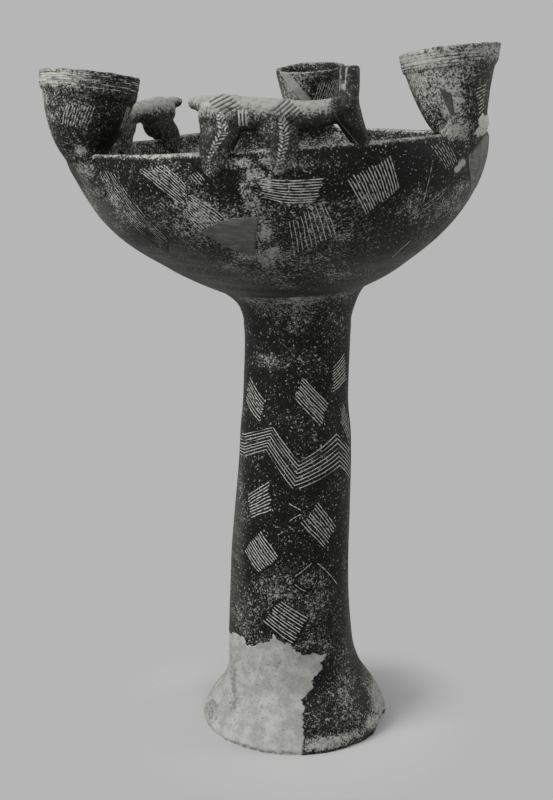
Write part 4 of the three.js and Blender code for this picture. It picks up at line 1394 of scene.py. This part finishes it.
def wall_slab_rows(start, low, high, reach_out, reach_in):
    """A stretch of the rim, a little thinner than the wall, that lies hidden in it: the rolls are
    smoothed onto it, as they were onto the wall."""
    over = np.linspace(reach_out, -reach_in, 40)
    angle = np.radians(start) + np.linspace(low, high, 60) / bowl_radius
    skin = wall_surface(*np.meshgrid(angle, over, indexing="ij"))
    inset = skin + (skin[:, ::-1] - skin) * (0.0013 / bowl_wall)
    inset[..., 2] -= 0.0006
    return inset, inset.mean(1)[[0, -1]]


def bull(name, animal, voxel):
    """An animal: its rolls of clay are merged on a fine grid and smoothed where they meet."""
    points, faces, start = [], [], 0
    shapes = [limb_rows(animal["angle"], stations) for stations in animal_stations(animal)]
    shapes.append(wall_slab_rows(animal["angle"], -0.004, animal["length"] + 0.006, 0.034, 0.034))
    for rows, ends in shapes:
        points += [rows.reshape(-1, 3), ends]
        faces += form_faces(*rows.shape[:2], start)
        start += rows.shape[0] * rows.shape[1] + len(ends)
    piece = make_mesh(name, np.concatenate(points), faces)
    merge = piece.modifiers.new("merge", "REMESH")
    merge.mode, merge.voxel_size = "VOXEL", voxel
    smooth = piece.modifiers.new("smooth", "SMOOTH")
    smooth.factor, smooth.iterations = 0.5, 22
    settle(piece)
    return piece


def comb_lines(s, h, corners, count, broad, fade=1.2):
    """How deep each point lies in a panel of comb lines between two sides, in millimetres along
    and up: corners are the first side's two ends and the last side's two ends."""
    a, b, c, d = [np.array(corner, float) for corner in corners]
    along, down = (b - a + d - c) / 2, (c - a + d - b) / 2
    grid = np.linalg.inv(np.stack([along, down], -1))
    middle = (a + b + c + d) / 4
    u, v = grid @ np.stack([s * 1000 - middle[0], h * 1000 - middle[1]]) + 0.5
    width = abs(np.cross(along, down)) / np.linalg.norm(along)
    nearest = np.clip(np.round(v * (count - 1)), 0, count - 1) / (count - 1)
    away = np.abs(v - nearest) * width
    length = np.linalg.norm(along)
    ends = np.clip(u * length / fade, 0, 1) * np.clip((1 - u) * length / fade, 0, 1)
    return np.exp(-(away / broad) ** 2) * ends


def notches(s, h, path, spacing, half_width, broad):
    """How deep each point lies in a row of short cross cuts down a path of (along, up) points."""
    path = np.array(path, float)
    sides = np.diff(path, axis=0)
    starts = np.concatenate([[0], np.cumsum(np.linalg.norm(sides, axis=1))])
    p = np.stack([s, h], -1) * 1000
    best, way, off = np.full(len(p), 1e9), np.zeros(len(p)), np.zeros(len(p))
    for point, side, start in zip(path, sides, starts):
        t = np.clip((p - point) @ side / (side @ side), 0, 1)
        gap = np.linalg.norm(p - point - t[:, None] * side, axis=1)
        nearer = gap < best
        sign = np.sign(side[0] * (p[:, 1] - point[1]) - side[1] * (p[:, 0] - point[0]))
        way = np.where(nearer, start + t * np.linalg.norm(side), way)
        off = np.where(nearer, sign * gap, off)
        best = np.where(nearer, gap, best)
    side = np.tanh(off / 0.5)
    uneven = 0.6 * np.sin(way / 2.3) + 0.25 * np.sin(way * 1.9)
    phase = (way + 0.62 * np.abs(off) + 0.75 * side + uneven) / spacing
    which = np.round(phase)
    away = np.abs(phase - which) * spacing
    reach = half_width * (0.8 + 0.35 * np.sin(which * 12.9))
    return np.exp(-(away / broad) ** 2) * np.clip((reach - best) / 0.9, 0, 1) * (0.35 + 0.65 * side ** 2)


def dress_bull(piece, animal):
    """Cuts an animal's comb lines and notches into its skin, and marks lime; wear with painted light on its
    tops and the horns' left edges; and painted shade in its cuts, underneath and on its face.
    """
    piece.data.update()
    co = places(piece)
    normals = np.empty(len(co) * 3, np.float32)
    piece.data.vertex_normals.foreach_get("vector", normals)
    normals = normals.reshape(-1, 3).astype(float)
    s, w, h = rim_place(co, animal["angle"])
    s, h = s * drawn_length / animal["length"], h / animal["rise"]
    outer = np.clip((w - wall_middle) / 0.004, 0, 1)
    inner = np.clip((wall_middle - w) / 0.004, 0, 1)
    # The rump and shoulder comb lines are darkened as painted shade in their grooves.
    shadowed_cuts = np.maximum(
        comb_lines(s, h, [(20.5, 42.5), (36.0, 50.0), (33.0, 31.5), (48.0, 40.0)], 5, 0.62),
        comb_lines(s, h, [(73.5, 33.0), (88.0, 43.5), (86.5, 20.5), (99.0, 32.0)], 6, 0.62))
    strokes = comb_lines(s, h, [(47.2, 21.0), (46.6, 36.0), (52.9, 20.8), (52.4, 36.0)], 3, 0.7)
    hind = notches(s, h, [(31, 31), (34.3, 19.3), (29, 9.7), (22.5, -2), (16.5, -18)], 3.1, 4.2, 0.78)
    fore = notches(s, h, [(81.8, 25), (84.2, 16), (82.6, 4), (79.5, -8), (74.5, -20)], 3.1, 4.2, 0.78)
    jaw = comb_lines(s, h, [(124.6, 29.2), (150.0, -1.0), (124.8, 29.4), (150.2, -0.8)], 2, 0.42)
    light_cuts = np.maximum.reduce([strokes, hind, fore, jaw * 0.5]) * outer
    shadowed_cuts = shadowed_cuts * outer
    cuts = np.maximum(light_cuts, shadowed_cuts)
    lumps = by_hand(s / 0.02, h * 3, 0.00028, animal["seed"])
    co += normals * (lumps * np.clip((h + 0.004) / 0.01, 0, 1) - 0.00065 * cuts)[:, None]
    move_to(piece, co)
    # Painted light: the tops lighter as if lit from above, and the horns' left edges as if lit from the
    # left. Painted shade: the undersides, the face and the shadowed cuts. Above its belly the body is also
    # lighter, its leg tips paler and its shins darker.
    light = np.clip((normals[:, 2] + 0.30) / 0.75, 0, 1) * np.clip((h - 0.020) / 0.012, 0, 1)
    body = np.clip((0.128 - s) / 0.01, 0, 1)
    under = np.clip((-normals[:, 2] - 0.15) / 0.5, 0, 1) * np.clip((h - 0.004) / 0.01, 0, 1)
    edge = np.clip(-normals[:, 0] - 0.35, 0, 1) * np.clip((h - 0.046) / 0.004, 0, 1) * (1 - body)
    tips = 0.22 * np.clip((0.001 - h) / 0.010, 0, 1)
    flank = 0.12 * body * np.clip((h - 0.016) / 0.008, 0, 1)
    face = 0.45 * (1 - body) * np.clip((0.040 - h) / 0.01, 0, 1)
    shins = 0.35 * np.clip((0.022 - h) / 0.008, 0, 1) * np.clip(h / 0.006, 0, 1)
    dark = np.clip(shadowed_cuts + 0.6 * under + face + shins, 0, 0.95)
    mark(piece, "lime", light_cuts * 0.62)
    mark(piece, "wear_and_painted_light", np.clip(0.02 + flank + light * (0.20 + 0.9 * body) + 1.6 * edge + tips, 0, 1.3))
    mark(piece, "shade", dark * (1 - 0.8 * light_cuts))


figure_clay = clay_material("figure clay", 0.0220, 0.150, 0.34, 0.004)
animal_parts = ["body", "head", "horn_outer", "horn_inner", "tail",
                "hindleg_outer", "hindleg_inner", "foreleg_outer", "foreleg_inner"]
for name, animal in animals.items():
    piece = bull(name + "_bull_skin", animal, 0.00095)
    dress_bull(piece, animal)
    finish_piece(piece, figure_clay, "figure_clay", *[f"{name}_bull_{part}" for part in animal_parts])

# The room: a pale floor that fades into the backdrop, soft light from above and the left, and
# the camera at the photograph's height.

background = 0.463


def make_floor():
    """A round pale floor that turns clear towards its edge, so that it ends nowhere."""
    reach, rings, columns = 1.6, 24, 96
    turn = np.linspace(0, 2 * np.pi, columns, endpoint=False)
    radii = np.linspace(0.02, reach, rings)
    r, t = np.meshgrid(radii, turn, indexing="ij")
    rows = np.stack([r * np.cos(t), r * np.sin(t), 0 * r - 0.0002], -1)
    points = np.concatenate([rows.reshape(-1, 3), [(0, 0, -0.0002)]])
    faces = sleeve_faces(rings, columns) + fan_faces(0, columns, rings * columns, False)
    mesh = bpy.data.meshes.new("floor")
    mesh.from_pydata(points.tolist(), [], faces)
    made = bpy.data.materials.new("floor")
    tree = empty_tree(made)
    place = node(tree, "ShaderNodeTexCoord").outputs["Object"]
    away = node(tree, "ShaderNodeVectorMath", {0: place, 1: (foot_x, foot_y, 0)}, operation="DISTANCE")
    fade = Value(tree, away.outputs["Value"]).ramp(0.112, 0.22)
    matt = node(tree, "ShaderNodeBsdfDiffuse", {"Color": (0.50, 0.505, 0.50, 1)}).outputs[0]
    clear = node(tree, "ShaderNodeBsdfTransparent").outputs[0]
    joined = node(tree, "ShaderNodeMixShader", {0: fade, 1: matt, 2: clear}).outputs[0]
    node(tree, "ShaderNodeOutputMaterial", {"Surface": joined})
    mesh.materials.append(made)
    return placed("floor", mesh)


make_floor()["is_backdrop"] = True

world = bpy.data.worlds.new("studio")
bpy.context.scene.world = world
air = empty_tree(world)
path = node(air, "ShaderNodeLightPath").outputs
seen = Value(air, path["Is Camera Ray"]).or_more(path["Is Transmission Ray"]).or_more(path["Is Glossy Ray"])
backdrop = node(air, "ShaderNodeBackground", {"Color": (background, background * 1.012, background, 1),
                                              "Strength": 1.0})
around = node(air, "ShaderNodeBackground", {"Color": (1, 1, 1, 1), "Strength": 0.26})
chosen = node(air, "ShaderNodeMixShader", {0: seen, 1: around.outputs[0], 2: backdrop.outputs[0]})
node(air, "ShaderNodeOutputWorld", {"Surface": chosen.outputs[0]})


def softbox(name, place, aim, size, watts):
    """A square area lamp that faces a point."""
    lamp = bpy.data.lights.new(name, "AREA")
    lamp.shape, lamp.size, lamp.energy = "SQUARE", size, watts
    made = placed(name, lamp)
    made.location = place
    made.rotation_euler = (Vector(aim) - Vector(place)).to_track_quat("-Z", "Y").to_euler()


softbox("key", (-2.1, -1.1, 1.9), (0, 0, 0.4), 1.3, 76)
softbox("fill", (0.6, -2.2, 1.3), (0, 0, 0.4), 1.2, 15)
softbox("side", (2.2, 0.3, 1.1), (0, 0, 0.4), 1.2, 15)
softbox("top", (0.3, 0.5, 2.4), (0, 0, 0.4), 1.4, 12)

camera = placed("camera", bpy.data.cameras.new("camera"))
camera.location = (foot_x - 0.020, foot_y - 1.3205, 0.68166)
camera.rotation_euler = (np.radians(90 - 13.832), 0, 0)
camera.data.sensor_fit = "VERTICAL"
camera.data.sensor_height = 36
camera.data.lens = 58.16
bpy.context.scene.camera = camera
bpy.context.scene.view_settings.view_transform = "Standard"

low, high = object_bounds()
for name, corner in (("cad_low", cad_low), ("cad_high", cad_high), ("low", low), ("high", high)):
    name + " " + " ".join(f"{value:.4f}" for value in corner) + "\n"
